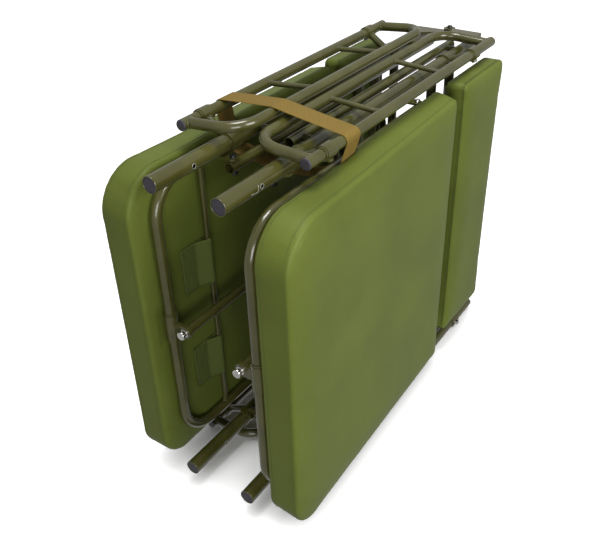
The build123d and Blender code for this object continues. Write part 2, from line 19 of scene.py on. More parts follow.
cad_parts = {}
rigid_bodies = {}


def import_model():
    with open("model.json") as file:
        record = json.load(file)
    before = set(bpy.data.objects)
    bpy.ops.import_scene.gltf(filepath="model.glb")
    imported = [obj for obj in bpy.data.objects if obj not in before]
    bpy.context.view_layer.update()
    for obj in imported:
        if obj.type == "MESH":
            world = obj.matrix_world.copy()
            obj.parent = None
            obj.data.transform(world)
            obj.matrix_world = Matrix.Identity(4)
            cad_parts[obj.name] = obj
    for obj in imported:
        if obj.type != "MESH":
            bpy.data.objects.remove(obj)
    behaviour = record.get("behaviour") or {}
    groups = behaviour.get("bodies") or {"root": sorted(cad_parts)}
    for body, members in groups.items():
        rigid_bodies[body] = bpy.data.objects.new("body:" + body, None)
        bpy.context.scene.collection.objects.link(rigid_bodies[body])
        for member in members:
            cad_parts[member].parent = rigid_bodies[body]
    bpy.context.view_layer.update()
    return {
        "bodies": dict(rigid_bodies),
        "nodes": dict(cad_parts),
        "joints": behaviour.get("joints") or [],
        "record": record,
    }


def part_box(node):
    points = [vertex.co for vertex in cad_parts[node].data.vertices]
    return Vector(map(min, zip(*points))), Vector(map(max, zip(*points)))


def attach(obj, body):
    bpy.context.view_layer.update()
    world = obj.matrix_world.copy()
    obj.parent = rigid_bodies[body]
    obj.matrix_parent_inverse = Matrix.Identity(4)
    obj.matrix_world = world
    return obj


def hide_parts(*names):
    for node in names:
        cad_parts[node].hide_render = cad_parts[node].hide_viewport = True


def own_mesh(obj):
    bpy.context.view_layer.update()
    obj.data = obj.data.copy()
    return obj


LOG = logging.getLogger("cot")
MM = 0.001
ALONG = Vector((1, 0, 0))
ACROSS = Vector((0, 1, 0))
UP = Vector((0, 0, 1))
FULL_TURN = 2 * math.pi

# How the cushions' cover behaves while pressure blows it up
COVER_CLOTH = {"quality": 5, "mass": 0.3, "tension_stiffness": 15, "compression_stiffness": 15,
               "bending_stiffness": 2.0, "use_pressure": True, "uniform_pressure_force": 4.0}


class Side(Enum):
    """A choice whose value is the sign of its way along an axis."""

    @property
    def word(self) -> str:
        """Name as the nodes spell it."""
        return self.name.lower()


class Half(Side):
    """The two halves of the folded pack, by their side of the Y axis."""

    FRONT = -1
    REAR = 1


class Level(Side):
    """The two long sides of the pack, by their way along Z."""

    UPPER = 1
    LOWER = -1


@dataclass(frozen=True)
class TubeSizes:
    """Outside diameters of the tubes; guards, panels, legs and cross tubes are frame tube."""

    rail: float = 32.0
    frame: float = 22.0
    bow: float = 21.0
    post: float = 18.0
    arm: float = 16.0
    bar: float = 12.0
    rung: float = 11.0


TUBE = TubeSizes()


# Small helpers for nodes, meshes and colours

def linear(code: str) -> tuple[float, float, float, float]:
    """Turn an sRGB hex colour into linear RGBA.

    Args:
        code: Six hex digits with a leading hash.

    Returns:
        The colour's linear red, green and blue, and an alpha of one.
    """
    channels = []
    for start in (1, 3, 5):
        value = int(code[start:start + 2], 16) / 255
        channels.append(value / 12.92 if value <= 0.04045 else ((value + 0.055) / 1.055) ** 2.4)
    return (*channels, 1.0)


def grey(value: float) -> tuple[float, float, float, float]:
    """A grey as RGBA."""
    return (value, value, value, 1.0)


def per_metre(size_mm: float) -> float:
    """Texture scale that gives one feature every size_mm millimetres."""
    return 1 / (size_mm * MM)


def set_inputs(node: bpy.types.Node, inputs: dict) -> None:
    """Set or link a node's inputs.

    Args:
        node: The node.
        inputs: Value or source socket for each input, by name or index.
    """
    for key, value in inputs.items():
        if isinstance(value, bpy.types.NodeSocket):
            node.id_data.links.new(value, node.inputs[key])
        else:
            node.inputs[key].default_value = value


def add_node(tree: bpy.types.NodeTree, kind: str, inputs: dict | None = None, stops: tuple = (),
             **settings) -> bpy.types.Node:
    """Add one node with its settings, and set or link its inputs.

    Args:
        tree: Node tree that takes the node.
        kind: The node's type name.
        inputs: Value or source socket for each input, by name or index.
        stops: Place and linear colour of both stops, where the node is a colour ramp.
        **settings: The node's own properties.

    Returns:
        The new node.
    """
    node = tree.nodes.new(kind)
    for name, value in settings.items():
        setattr(node, name, value)
    for number, (place, colour) in enumerate(stops):
        element = node.color_ramp.elements[number]
        element.position = place
        element.color = colour
    set_inputs(node, inputs or {})
    return node


def start_material(name: str, coordinates: str = "Object") -> tuple:
    """Start a node material.

    Args:
        name: The material's name.
        coordinates: Which of the piece's coordinates its patterns follow.

    Returns:
        The material, its tree, its shader and the socket of those coordinates.
    """
    material = bpy.data.materials.new(name)
    material.use_nodes = True
    tree = material.node_tree
    place = add_node(tree, "ShaderNodeTexCoord").outputs[coordinates]
    return material, tree, tree.nodes["Principled BSDF"], place


def add_object(name: str, data: bpy.types.ID) -> bpy.types.Object:
    """Put a new object with this data in the scene."""
    item = bpy.data.objects.new(name, data)
    bpy.context.scene.collection.objects.link(item)
    return item


def make_object(name: str, points: list, faces: list, material: bpy.types.Material) -> bpy.types.Object:
    """Make a smooth-shaded mesh object at the origin.

    Args:
        name: The object's name.
        points: Vertex places in metres.
        faces: Vertex numbers of each face.
        material: Finish of the whole piece.

    Returns:
        The linked object.
    """
    mesh = bpy.data.meshes.new(name)
    mesh.from_pydata([tuple(p) for p in points], [], faces)
    mesh.validate()
    mesh.shade_smooth()
    mesh.materials.append(material)
    return add_object(name, mesh)


def read_points(mesh: bpy.types.Mesh, what: str = "co") -> np.ndarray:
    """Read a mesh's vertices.

    Args:
        mesh: The mesh.
        what: Their places, "co", or their normals, "normal".

    Returns:
        One row for each vertex.
    """
    values = np.zeros(len(mesh.vertices) * 3)
    mesh.vertices.foreach_get(what, values)
    return values.reshape(-1, 3)


def dress(piece: bpy.types.Object, body: str, slot: str, *nodes: str) -> bpy.types.Object:
    """Set what a finished piece rides on, and hide the nodes that it stands for.

    Args:
        piece: The finished piece.
        body: Body of the frame that carries it.
        slot: The record's material slot; not used.
        *nodes: Nodes that the piece replaces.

    Returns:
        The same piece.
    """
    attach(piece, body)
    if nodes:
        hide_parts(*nodes)
    LOG.info("%s rides on %s with %d faces", piece.name, body, len(piece.data.polygons))
    return piece


def add_solid(name: str, shapes: list, material: bpy.types.Material, body: str, slot: str,
              *nodes: str) -> bpy.types.Object:
    """Make and dress one piece of closed shapes, with its faces turned outwards.

    Args:
        name: Name of the piece.
        shapes: Vertices and faces of each shape.
        material: Finish of the whole piece.
        body: Body of the frame that carries it.
        slot: The record's material slot.
        *nodes: Nodes that the piece replaces.

    Returns:
        The finished piece.
    """
    points, faces = [], []
    for spots, loops in shapes:
        faces += [[len(points) + corner for corner in loop] for loop in loops]
        points += list(spots)
    piece = make_object(name, points, faces, material)
    shape = bmesh.new()
    shape.from_mesh(piece.data)
    bmesh.ops.recalc_face_normals(shape, faces=shape.faces)
    shape.to_mesh(piece.data)
    shape.free()
    return dress(piece, body, slot, *nodes)


def middle_of(node: str) -> Vector:
    """Middle of a node's box."""
    low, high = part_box(node)
    return (low + high) / 2


def slide(spot: Vector, x: float) -> Vector:
    """A point moved along the rails to x."""
    return Vector((x, spot.y, spot.z))


# Finishes

@dataclass(frozen=True)
class PowderCoat:
    """Olive powder coat on steel tube: glossy, with orange peel and a few pale scuffs."""

    name: str = "olive_powder_coat"
    colour: str = "#525127"
    shade: str = "#45441D"
    scuff: str = "#7C7658"
    cloud_mm: float = 70.0
    peel_mm: float = 3.0
    scuff_mm: float = 34.0
    roughness: float = 0.22

    def build(self) -> bpy.types.Material:
        """Build the material: clouded colour, sparse scuffs, uneven gloss and a fine peel bump.

        Returns:
            The material.
        """
        material, tree, shader, place = start_material(self.name)
        cloud = add_node(tree, "ShaderNodeTexNoise",
                         {"Vector": place, "Scale": per_metre(self.cloud_mm), "Detail": 3.0})
        tone = add_node(tree, "ShaderNodeValToRGB", {"Fac": cloud.outputs["Fac"]},
                        stops=((0.35, linear(self.shade)), (0.7, linear(self.colour))))
        scuffs = add_node(tree, "ShaderNodeTexNoise",
                          {"Vector": place, "Scale": per_metre(self.scuff_mm), "Detail": 9.0,
                           "Roughness": 0.78})
        worn = add_node(tree, "ShaderNodeValToRGB", {"Fac": scuffs.outputs["Fac"]},
                        stops=((0.70, grey(0.0)), (0.735, grey(1.0))))
        colour = add_node(tree, "ShaderNodeMix",
                          {"Factor": worn.outputs["Color"], 6: tone.outputs["Color"],
                           7: linear(self.scuff)}, data_type="RGBA")
        gloss = add_node(tree, "ShaderNodeMapRange",
                         {"Value": cloud.outputs["Fac"], "To Min": self.roughness - 0.06,
                          "To Max": self.roughness + 0.08})
        peel = add_node(tree, "ShaderNodeTexNoise",
                        {"Vector": place, "Scale": per_metre(self.peel_mm), "Detail": 1.0})
        bump = add_node(tree, "ShaderNodeBump",
                        {"Height": peel.outputs["Fac"], "Strength": 0.05, "Distance": 0.3 * MM})
        set_inputs(shader, {"Base Color": colour.outputs[2], "Roughness": gloss.outputs["Result"],
                            "Normal": bump.outputs["Normal"], "IOR": 1.5, "Coat Weight": 0.4,
                            "Coat Roughness": 0.07})
        return material


@dataclass(frozen=True)
class VinylCover:
    """PVC-coated fabric, calendered with a fine leather grain: satin, a little uneven in tone."""

    name: str = "olive_vinyl"
    colour: str = "#6D7934"
    shade: str = "#626D2E"
    cloud_mm: float = 160.0
    grain_mm: float = 1.8
    crease_mm: float = 55.0
    roughness: float = 0.42

    def build(self) -> bpy.types.Material:
        """Build the material: clouded green, soft creases and a leather grain, drawn coarse to show.

        Returns:
            The material.
        """
        material, tree, shader, place = start_material(self.name)
        cloud = add_node(tree, "ShaderNodeTexNoise",
                         {"Vector": place, "Scale": per_metre(self.cloud_mm), "Detail": 4.0})
        tone = add_node(tree, "ShaderNodeValToRGB", {"Fac": cloud.outputs["Fac"]},
                        stops=((0.3, linear(self.shade)), (0.7, linear(self.colour))))
        grain = add_node(tree, "ShaderNodeTexVoronoi",
                         {"Vector": place, "Scale": per_metre(self.grain_mm)},
                         feature="DISTANCE_TO_EDGE")
        valley = add_node(tree, "ShaderNodeValToRGB", {"Fac": grain.outputs["Distance"]},
                          stops=((0.0, grey(0.86)), (0.25, grey(1.0)))).outputs["Color"]
        colour = add_node(tree, "ShaderNodeMix", {"Factor": 1.0, 6: tone.outputs["Color"], 7: valley},
                          data_type="RGBA", blend_type="MULTIPLY")
        gloss = add_node(tree, "ShaderNodeMapRange",
                         {"Value": cloud.outputs["Fac"], "To Min": self.roughness - 0.05,
                          "To Max": self.roughness + 0.07})
        crease = add_node(tree, "ShaderNodeTexNoise",
                          {"Vector": place, "Scale": per_metre(self.crease_mm), "Detail": 2.0})
        soft = add_node(tree, "ShaderNodeBump",
                        {"Height": crease.outputs["Fac"], "Strength": 0.12, "Distance": 4 * MM})
        bump = add_node(tree, "ShaderNodeBump",
                        {"Height": valley, "Strength": 0.10, "Distance": 0.4 * MM,
                         "Normal": soft.outputs["Normal"]})
        set_inputs(shader, {"Base Color": colour.outputs[2], "Roughness": gloss.outputs["Result"],
                            "Normal": bump.outputs["Normal"], "IOR": 1.53,
                            "Specular IOR Level": 0.13})
        return material


@dataclass(frozen=True)
class WovenWebbing:
    """Flat woven webbing: threads across and along, darker between them."""

    name: str
    colour: str
    gap: str
    thread_mm: float = 2.2
    roughness: float = 0.8

    def build(self) -> bpy.types.Material:
        """Build the weave on the piece's UV map, which holds millimetres; real threads are half as wide.

        Returns:
            The material.
        """
        material, tree, shader, place = start_material(self.name, "UV")
        axes = add_node(tree, "ShaderNodeSeparateXYZ", {"Vector": place})
        waves = []
        for axis, share in (("X", 1.0), ("Y", 0.5)):
            phase = add_node(tree, "ShaderNodeMath",
                             {0: axes.outputs[axis], 1: FULL_TURN / self.thread_mm * share},
                             operation="MULTIPLY")
            waves.append(add_node(tree, "ShaderNodeMath", {0: phase.outputs[0]}, operation="SINE").outputs[0])
        product = add_node(tree, "ShaderNodeMath", {0: waves[0], 1: waves[1]}, operation="MULTIPLY")
        weave = add_node(tree, "ShaderNodeMapRange",
                         {"Value": product.outputs[0], "From Min": -1.0, "From Max": 1.0})
        fuzz = add_node(tree, "ShaderNodeTexNoise", {"Vector": place, "Scale": 0.35, "Detail": 5.0})
        mixed = add_node(tree, "ShaderNodeMath",
                         {0: weave.outputs["Result"], 1: fuzz.outputs["Fac"]}, operation="ADD")
        tone = add_node(tree, "ShaderNodeValToRGB", {"Fac": mixed.outputs[0]},
                        stops=((0.45, linear(self.gap)), (1.0, linear(self.colour))))
        bump = add_node(tree, "ShaderNodeBump",
                        {"Height": weave.outputs["Result"], "Strength": 0.8, "Distance": 0.6 * MM})
        set_inputs(shader, {"Base Color": tone.outputs["Color"], "Roughness": self.roughness,
                            "Normal": bump.outputs["Normal"]})
        return material


@dataclass(frozen=True)
class PlainFinish:
    """A moulded, spun or plated surface with a light grain: plugs, feet, thread and bright bolts."""

    name: str
    colour: str
    shade: str
    roughness: float
    grain_mm: float
    metallic: float = 0.0
    bump: float = 0.1

    def build(self) -> bpy.types.Material:
        """Build the material: two near tones, uneven gloss and a fine grain.

        Returns:
            The material.
        """
        material, tree, shader, place = start_material(self.name)
        grain = add_node(tree, "ShaderNodeTexNoise",
                         {"Vector": place, "Scale": per_metre(self.grain_mm), "Detail": 5.0}).outputs["Fac"]
        tone = add_node(tree, "ShaderNodeValToRGB", {"Fac": grain},
                        stops=((0.35, linear(self.shade)), (0.65, linear(self.colour))))
        gloss = add_node(tree, "ShaderNodeMapRange",
                         {"Value": grain, "To Min": max(self.roughness - 0.08, 0.04),
                          "To Max": self.roughness + 0.08})
        bump = add_node(tree, "ShaderNodeBump",
                        {"Height": grain, "Strength": self.bump, "Distance": 0.2 * MM})
        set_inputs(shader, {"Base Color": tone.outputs["Color"], "Roughness": gloss.outputs["Result"],
                            "Normal": bump.outputs["Normal"], "Metallic": self.metallic})
        return material


@dataclass
class Finishes:
    """The built finishes, one for each kind of surface."""

    paint: bpy.types.Material
    vinyl: bpy.types.Material
    strap: bpy.types.Material
    tab: bpy.types.Material
    plug: bpy.types.Material
    rubber: bpy.types.Material
    chrome: bpy.types.Material
    dark_bolt: bpy.types.Material
    bare: bpy.types.Material
    thread: bpy.types.Material
    tab_thread: bpy.types.Material

    @classmethod
    def make(cls) -> Finishes:
        """Build every finish once."""
        return cls(
            paint=PowderCoat().build(),
            vinyl=VinylCover().build(),
            strap=WovenWebbing("tan_webbing", "#866D27", "#493910").build(),
            tab=WovenWebbing("olive_webbing", "#5D692A", "#465120").build(),
            plug=PlainFinish("moulded_plug", "#3E3B43", "#312F36", 0.5, 6.0).build(),
            rubber=PlainFinish("moulded_rubber", "#232322", "#191919", 0.7, 4.0).build(),
            chrome=PlainFinish("chrome_plate", "#D9D6D2", "#C4C1BD", 0.16, 12.0, 1.0, 0.02).build(),
            # Dark bolt colour: the hinge bolts' own dark steel, and painted shade on the leg pivot bolts
            dark_bolt=PlainFinish("blackened_bolt", "#34342F", "#262622", 0.35, 8.0, 0.6).build(),
            bare=PlainFinish("bare_steel", "#E2E0D8", "#C9C7BF", 0.35, 5.0, 0.5).build(),
            tab_thread=PlainFinish("tab_thread", "#353F1A", "#262E12", 0.7, 1.5).build(),
            thread=PlainFinish("sewing_thread", "#5A6629", "#485320", 0.65, 1.5).build(),
        )

    def for_slot(self, slot: str) -> bpy.types.Material:
        """Finish of one of the record's material slots."""
        return {"tube_paint": self.paint, "pad_vinyl": self.vinyl, "strap_webbing": self.strap,
                "tab_webbing": self.tab, "end_plug": self.plug, "foot_rubber": self.rubber,
                "bolt_chrome": self.chrome}[slot]


# Shapes that several pieces share

def smooth_step(value: np.ndarray) -> np.ndarray:
    """Ease from 0 to 1 with flat ends."""
    held = np.clip(value, 0.0, 1.0)
    return held * held * (3 - 2 * held)


def step_lengths(line: np.ndarray, closed: bool = False) -> np.ndarray:
    """Distances from each point of a line to the next."""
    ends = np.vstack([line, line[:1]]) if closed else line
    return np.linalg.norm(np.diff(ends, axis=0), axis=1)


def resample(line: np.ndarray, count: int) -> np.ndarray:
    """Space points evenly along an open line.

    Args:
        line: Points of the line, one row each.
        count: Number of points wanted, ends included.

    Returns:
        The evenly spaced points.
    """
    along = np.concatenate(([0.0], np.cumsum(step_lengths(line))))
    places = np.linspace(0.0, along[-1], count)
    return np.stack([np.interp(places, along, line[:, axis]) for axis in range(line.shape[1])], axis=1)


def lathe(profile: list, centre: Vector, axis: Vector, sides: int = 32) -> tuple[list, list]:
    """Spin a profile about an axis.

    Args:
        profile: Pairs of radius and height in millimetres; the ends may lie on the axis.
        centre: Point on the axis at height zero, in metres.
        axis: Way of growing height.
        sides: Steps round the axis.

    Returns:
        Vertices in metres and faces.
    """
    turn = UP.rotation_difference(axis.normalized()).to_matrix()
    points, faces, rings = [], [], []
    for radius, height in profile:
        ring = []
        for step in range(sides if radius > 0 else 1):
            angle = FULL_TURN * step / sides
            spot = Vector((radius * math.cos(angle), radius * math.sin(angle), height)) * MM
            ring.append(len(points))
            points.append(centre + turn @ spot)
        rings.append(ring)
    for low, high in zip(rings, rings[1:]):
        for step in range(sides):
            corners = [low[step % len(low)], low[(step + 1) % len(low)],
                       high[(step + 1) % len(high)], high[step % len(high)]]
            faces.append(list(dict.fromkeys(corners)))
    return points, faces


def bead(line: list, radius: float, beside: Vector, closed: bool, sides: int = 8) -> tuple[list, list]:
    """Sweep a small circle along a line.

    Args:
        line: Points of the line in metres.
        radius: The circle's radius in millimetres.
        beside: A way that the line never takes.
        closed: Whether the line is a loop.
        sides: Steps round the circle.

    Returns:
        Vertices in metres and faces.
    """
    points, faces = [], []
    count = len(line)
    for step, spot in enumerate(line):
        before = line[(step - 1) % count if closed else max(step - 1, 0)]
        after = line[(step + 1) % count if closed else min(step + 1, count - 1)]
        first = (after - before).cross(beside).normalized()
        second = first.cross(after - before).normalized()
        for turn in range(sides):
            angle = FULL_TURN * turn / sides
            points.append(spot + (first * math.cos(angle) + second * math.sin(angle)) * radius * MM)
    for step in range(count if closed else count - 1):
        low, high = step * sides, (step + 1) % count * sides
        for turn in range(sides):
            after = (turn + 1) % sides
            faces.append([low + turn, low + after, high + after, high + turn])
    if not closed:
        faces.append(list(range(sides))[::-1])
        faces.append([(count - 1) * sides + turn for turn in range(sides)])
    return points, faces


@dataclass
class Ribbon:
    """A flat woven strip swept along a line, with rounded thicker selvedges and a UV map in mm."""

    width: float
    thickness: float
    columns: int = 14
    selvedge: float = 1.25
    selvedge_from: float = 0.86
    tip: float = 0.35

    def section(self) -> list:
        """Lay out the strip's cross section.

        Returns:
            Its points, as mm across and mm off its middle.
        """
        half = self.width / 2
        top = []
        for number, spot in enumerate(np.linspace(-half, half, self.columns + 1)):
            swell = self.selvedge if abs(spot) / half > self.selvedge_from else 1.0
            if number in (0, self.columns):
                swell = self.tip
            top.append((spot, self.thickness / 2 * swell))
        return top + [(spot, -lift) for spot, lift in reversed(top)]

    def build(self, name: str, line: np.ndarray, across: Vector, closed: bool,
              material: bpy.types.Material) -> bpy.types.Object:
        """Sweep the strip.

        Args:
            name: Name of the piece.
            line: Middle of the strip in metres, one row for each step.
            across: Way across the strip.
            closed: Whether the strip is a loop.
            material: Its finish.

        Returns:
            The finished piece.
        """
        section = self.section()
        size = len(section)
        wide = np.array(across)
        ahead = np.roll(line, -1, axis=0) - np.roll(line, 1, axis=0)
        if not closed:
            ahead[0] = line[1] - line[0]
            ahead[-1] = line[-1] - line[-2]
        ahead /= np.linalg.norm(ahead, axis=1)[:, None]
        off = np.cross(wide, ahead)
        off /= np.linalg.norm(off, axis=1)[:, None]
        points = []
        for spot, thick in zip(line, off):
            points += [spot + wide * u * MM + thick * w * MM for u, w in section]
        count = len(line)
        faces, marks = [], []
        along = np.concatenate(([0.0], np.cumsum(step_lengths(line, True) / MM)))
        for step in range(count if closed else count - 1):
            after = (step + 1) % count
            for spot in range(size):
                beside = (spot + 1) % size
                faces.append([step * size + spot, step * size + beside,
                              after * size + beside, after * size + spot])
                marks += [(section[spot][0], along[step]), (section[beside][0], along[step]),
                          (section[beside][0], along[step + 1]), (section[spot][0], along[step + 1])]
        if not closed:
            for start, order in ((0, -1), ((count - 1) * size, 1)):
                faces.append([start + spot for spot in range(size)][::order])
                marks += section[::order]
        piece = make_object(name, points, faces, material)
        layer = piece.data.uv_layers.new(name="weave")
        layer.data.foreach_set("uv", np.array(marks, np.float32).ravel())
        return piece


@dataclass
class PathRepeats:
    """Geometry Nodes that set one small rounded bead at each step of a path: stitches and weld ripples."""

    name: str
    pitch: float
    length: float
    width: float
    spread: float
    seed: int
    sides: int = 6
    rings: int = 5

    def tree(self) -> bpy.types.NodeTree:
        """Build the node tree with its named inputs.

        Returns:
            The tree.
        """
        tree = bpy.data.node_groups.new(self.name, "GeometryNodeTree")
        sockets = [("Path", "Geometry"), ("Pitch", "Float"), ("Length", "Float"), ("Width", "Float"),
                   ("Spread", "Float"), ("Seed", "Int"), ("Finish", "Material")]
        for name, kind in sockets:
            tree.interface.new_socket(name, in_out="INPUT", socket_type="NodeSocket" + kind)
        tree.interface.new_socket("Beads", in_out="OUTPUT", socket_type="NodeSocketGeometry")
        given = add_node(tree, "NodeGroupInput").outputs
        curve = add_node(tree, "GeometryNodeMeshToCurve", {"Mesh": given["Path"]})
        spots = add_node(tree, "GeometryNodeCurveToPoints",
                         {"Curve": curve.outputs["Curve"], "Length": given["Pitch"]}, mode="LENGTH")
        turn = add_node(tree, "FunctionNodeAlignRotationToVector", {"Vector": spots.outputs["Tangent"]},
                        axis="X")
        low = add_node(tree, "ShaderNodeMath", {0: 1.0, 1: given["Spread"]}, operation="SUBTRACT")
        high = add_node(tree, "ShaderNodeMath", {0: 1.0, 1: given["Spread"]}, operation="ADD")
        vary = add_node(tree, "FunctionNodeRandomValue",
                        {2: low.outputs[0], 3: high.outputs[0], "Seed": given["Seed"]})
        size = add_node(tree, "ShaderNodeCombineXYZ",
                        {"X": given["Length"], "Y": given["Width"], "Z": given["Width"]})
        scale = add_node(tree, "ShaderNodeVectorMath",
                         {0: size.outputs[0], "Scale": vary.outputs[1]}, operation="SCALE")
        ball = add_node(tree, "GeometryNodeMeshUVSphere",
                        {"Segments": self.sides, "Rings": self.rings, "Radius": 0.5})
        upright = add_node(tree, "GeometryNodeTransform",
                           {"Geometry": ball.outputs["Mesh"], "Rotation": (0.0, math.pi / 2, 0.0)})
        copies = add_node(tree, "GeometryNodeInstanceOnPoints",
                          {"Points": spots.outputs["Points"], "Instance": upright.outputs["Geometry"],
                           "Rotation": turn.outputs["Rotation"], "Scale": scale.outputs["Vector"]})
        solid = add_node(tree, "GeometryNodeRealizeInstances", {"Geometry": copies.outputs["Instances"]})
        soft = add_node(tree, "GeometryNodeSetShadeSmooth", {"Geometry": solid.outputs["Geometry"]})
        finish = add_node(tree, "GeometryNodeSetMaterial",
                          {"Geometry": soft.outputs["Geometry"], "Material": given["Finish"]})
        add_node(tree, "NodeGroupOutput", {"Beads": finish.outputs["Geometry"]})
        return tree

    def build(self, name: str, paths: list, material: bpy.types.Material) -> bpy.types.Object:
        """Set the beads along paths and turn the result into a plain mesh.

        Args:
            name: Name of the piece.
            paths: Pairs of points in metres and whether the path closes on itself.
            material: Finish of the beads.

        Returns:
            The finished piece.
        """
        points, edges = [], []
        for line, closed in paths:
            first = len(points)
            points += [tuple(spot) for spot in line]
            edges += [(first + step, first + step + 1) for step in range(len(line) - 1)]
            if closed:
                edges.append((first + len(line) - 1, first))
        mesh = bpy.data.meshes.new(name + "_path")
        mesh.from_pydata(points, edges, [])
        source = add_object(name + "_path", mesh)
        modifier = source.modifiers.new("beads", "NODES")
        modifier.node_group = bpy.data.node_groups.get(self.name) or self.tree()
        values = {"Pitch": self.pitch * MM, "Length": self.length * MM, "Width": self.width * MM,
                  "Spread": self.spread, "Seed": self.seed, "Finish": material}
        for item in modifier.node_group.interface.items_tree:
            if item.in_out == "INPUT" and item.name in values:
                modifier[item.identifier] = values[item.name]
        graph = bpy.context.evaluated_depsgraph_get()
        result = bpy.data.meshes.new_from_object(source.evaluated_get(graph))
        result.name = name
        bpy.data.objects.remove(source)
        return add_object(name, result)


# Cushions

@dataclass
class Dent:
    """A place where a neighbour presses into a cushion, with corners along X and Z in metres."""

    low: tuple[float, float]
    high: tuple[float, float]
    depth: float


@dataclass
class Cushion:
    """A vinyl cushion: two faces and a band, sewn along both edges and blown up by simulation.

    Thickness is given at the near and far end, and the near corners' bends at the bottom and top.
    """

    half: Half
    kind: str
    body: str
    thick: tuple[float, float]
    near_bend: tuple[float, float]
    far_bend: float = 14.0
    least_bend: float = 4.0
    dents: list = field(default_factory=list)
    dent_ease: float = 14.0
    seat_gap: float = 0.3
    edge: float = 9.0
    crown: float = 3.0
    crown_inset: float = 70.0
    draw_in: float = 3.0
    cell: float = 8.0
    arc_points: int = 16
    run_points: int = 62
    bend_rings: int = 6
    band_rings: int = 4
    slack: float = 2.5
    cap: float = 5.0
    frames: int = 20
    groove: float = 0.9
    groove_reach: float = 1.6
    pucker: float = 0.7
    pucker_pitch: float = 21.0
    pucker_reach: float = 11.0
    crease: float = 0.8
    crease_pitch: float = 34.0
    crease_slant: float = 3.2
    corner_reach: float = 90.0
    straight_share: float = 0.25
    drift: tuple[float, float] = (97.0, 41.0)
    drift_swing: float = 1.7
    stitch_offset: float = 2.0
    stitch_height: float = 0.25
    stitch_rows: int = 1
    droop: float = 0.0
    droop_height: float = 130.0
    rise: float = 0.0
    rise_length: float = 260.0
    rise_start: float = 0.6

    def __post_init__(self) -> None:
        """Take the cushion's place from its node."""
        self.node = f"{self.half.word}_{self.kind}_pad"
        self.low, self.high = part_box(self.node)
        self.middle_thick = sum(self.thick) / 2
        self.inner_y = self.low.y if self.half is Half.REAR else self.high.y
        self.seams: list = []

    def counts(self) -> tuple[int, int]:
        """Cells along X and along Z."""
        size = (self.high - self.low) / MM
        return round(size.x / self.cell), round(size.z / self.cell)

    def border_gap(self, points: np.ndarray, axis: int) -> np.ndarray:
        """Distance in metres from each point to the nearer end of the cushion along an axis."""
        return np.minimum(points[..., axis] - self.low[axis], self.high[axis] - points[..., axis])

    def outline(self, inset: float) -> np.ndarray:
        """Round the cushion's border at some inset.

        Args:
            inset: Distance inside the border in millimetres.

        Returns:
            Points in the XZ plane, with the same count at every inset.
        """
        x = (self.low.x + inset * MM, self.high.x - inset * MM)
        z = (self.low.z + inset * MM, self.high.z - inset * MM)
        bends = (self.near_bend, (self.far_bend, self.far_bend))
        corners = [(0, 0, 225), (1, 0, 315), (1, 1, 45), (0, 1, 135)]
        arc = self.arc_points
        sides = []
        for number, (end, top, start) in enumerate(corners):
            after_end, after_top, stop = corners[(number + 1) % 4]
            line = []
            for which, level, angles in ((end, top, (start, start + 45)),
                                         (after_end, after_top, (stop - 45, stop))):
                radius = max(bends[which][level] - inset, self.least_bend) * MM
                centre = (x[which] + radius * (1 - 2 * which), z[level] + radius * (1 - 2 * level))
                for angle in np.radians(np.linspace(*angles, arc)):
                    line.append((centre[0] + radius * math.cos(angle), centre[1] + radius * math.sin(angle)))
            inward = math.radians(start + 135)
            run = np.linspace(line[arc - 1], line[arc], self.run_points)[1:-1]
            pull = self.draw_in * MM * np.sin(np.linspace(0, math.pi, self.run_points))[1:-1, None]
            run = run + pull * np.array([math.cos(inward), math.sin(inward)])
            line = np.vstack([line[:arc], run, line[arc:]])
            sides.append(resample(line, self.counts()[number % 2] + 1)[:-1])
        return np.vstack(sides)

    def rows(self) -> list:
        """Lay out the rings from the inner face's border to the outer one's.

        Returns:
            Inset and depth of each ring in millimetres.
        """
        outer = self.middle_thick - self.crown
        turn = np.radians(np.linspace(0, 90, self.bend_rings))
        bend = [(self.edge * (1 - math.sin(a)), self.edge * (1 - math.cos(a))) for a in turn]
        first = self.edge + self.stitch_offset
        last = outer - self.edge - self.stitch_offset
        band = [(0.0, depth) for depth in np.linspace(first, last, self.band_rings)]
        return bend + band + [(inset, outer - depth) for inset, depth in reversed(bend)]

    def mesh(self) -> tuple[np.ndarray, list]:
        """Lay out the rings and the two faces.

        Returns:
            Points as X, depth and Z, and faces.
        """
        shrink = self.slack
        rows = self.rows()
        rings = []
        middle = (self.middle_thick - self.crown) / 2
        for inset, depth in rows:
            held = middle + (depth - middle) * (1 - shrink / middle)
            flat = self.outline(inset + shrink)
            rings.append(np.column_stack([flat[:, 0], np.full(len(flat), held * MM), flat[:, 1]]))
        size = self.ring_size = len(rings[0])
        points = [np.vstack(rings)]
        faces = []
        for row in range(len(rows) - 1):
            for step in range(size):
                after = (step + 1) % size
                faces.append([row * size + step, (row + 1) * size + step,
                              (row + 1) * size + after, row * size + after])
        total = len(rows) * size
        for ring, start, swell, order in ((rings[0], 0, 0.0, 1),
                                          (rings[-1], (len(rows) - 1) * size, self.crown, -1)):
            inner, loops = self.face(ring, start, total, swell)
            points.append(inner)
            faces += [loop[::order] for loop in loops]
            total += len(inner)
        spots = np.vstack(points)
        share = (spots[:, 0] - self.low.x) / (self.high.x - self.low.x)
        spots[:, 1] *= (self.thick[0] + (self.thick[1] - self.thick[0]) * share) / self.middle_thick
        return spots, faces

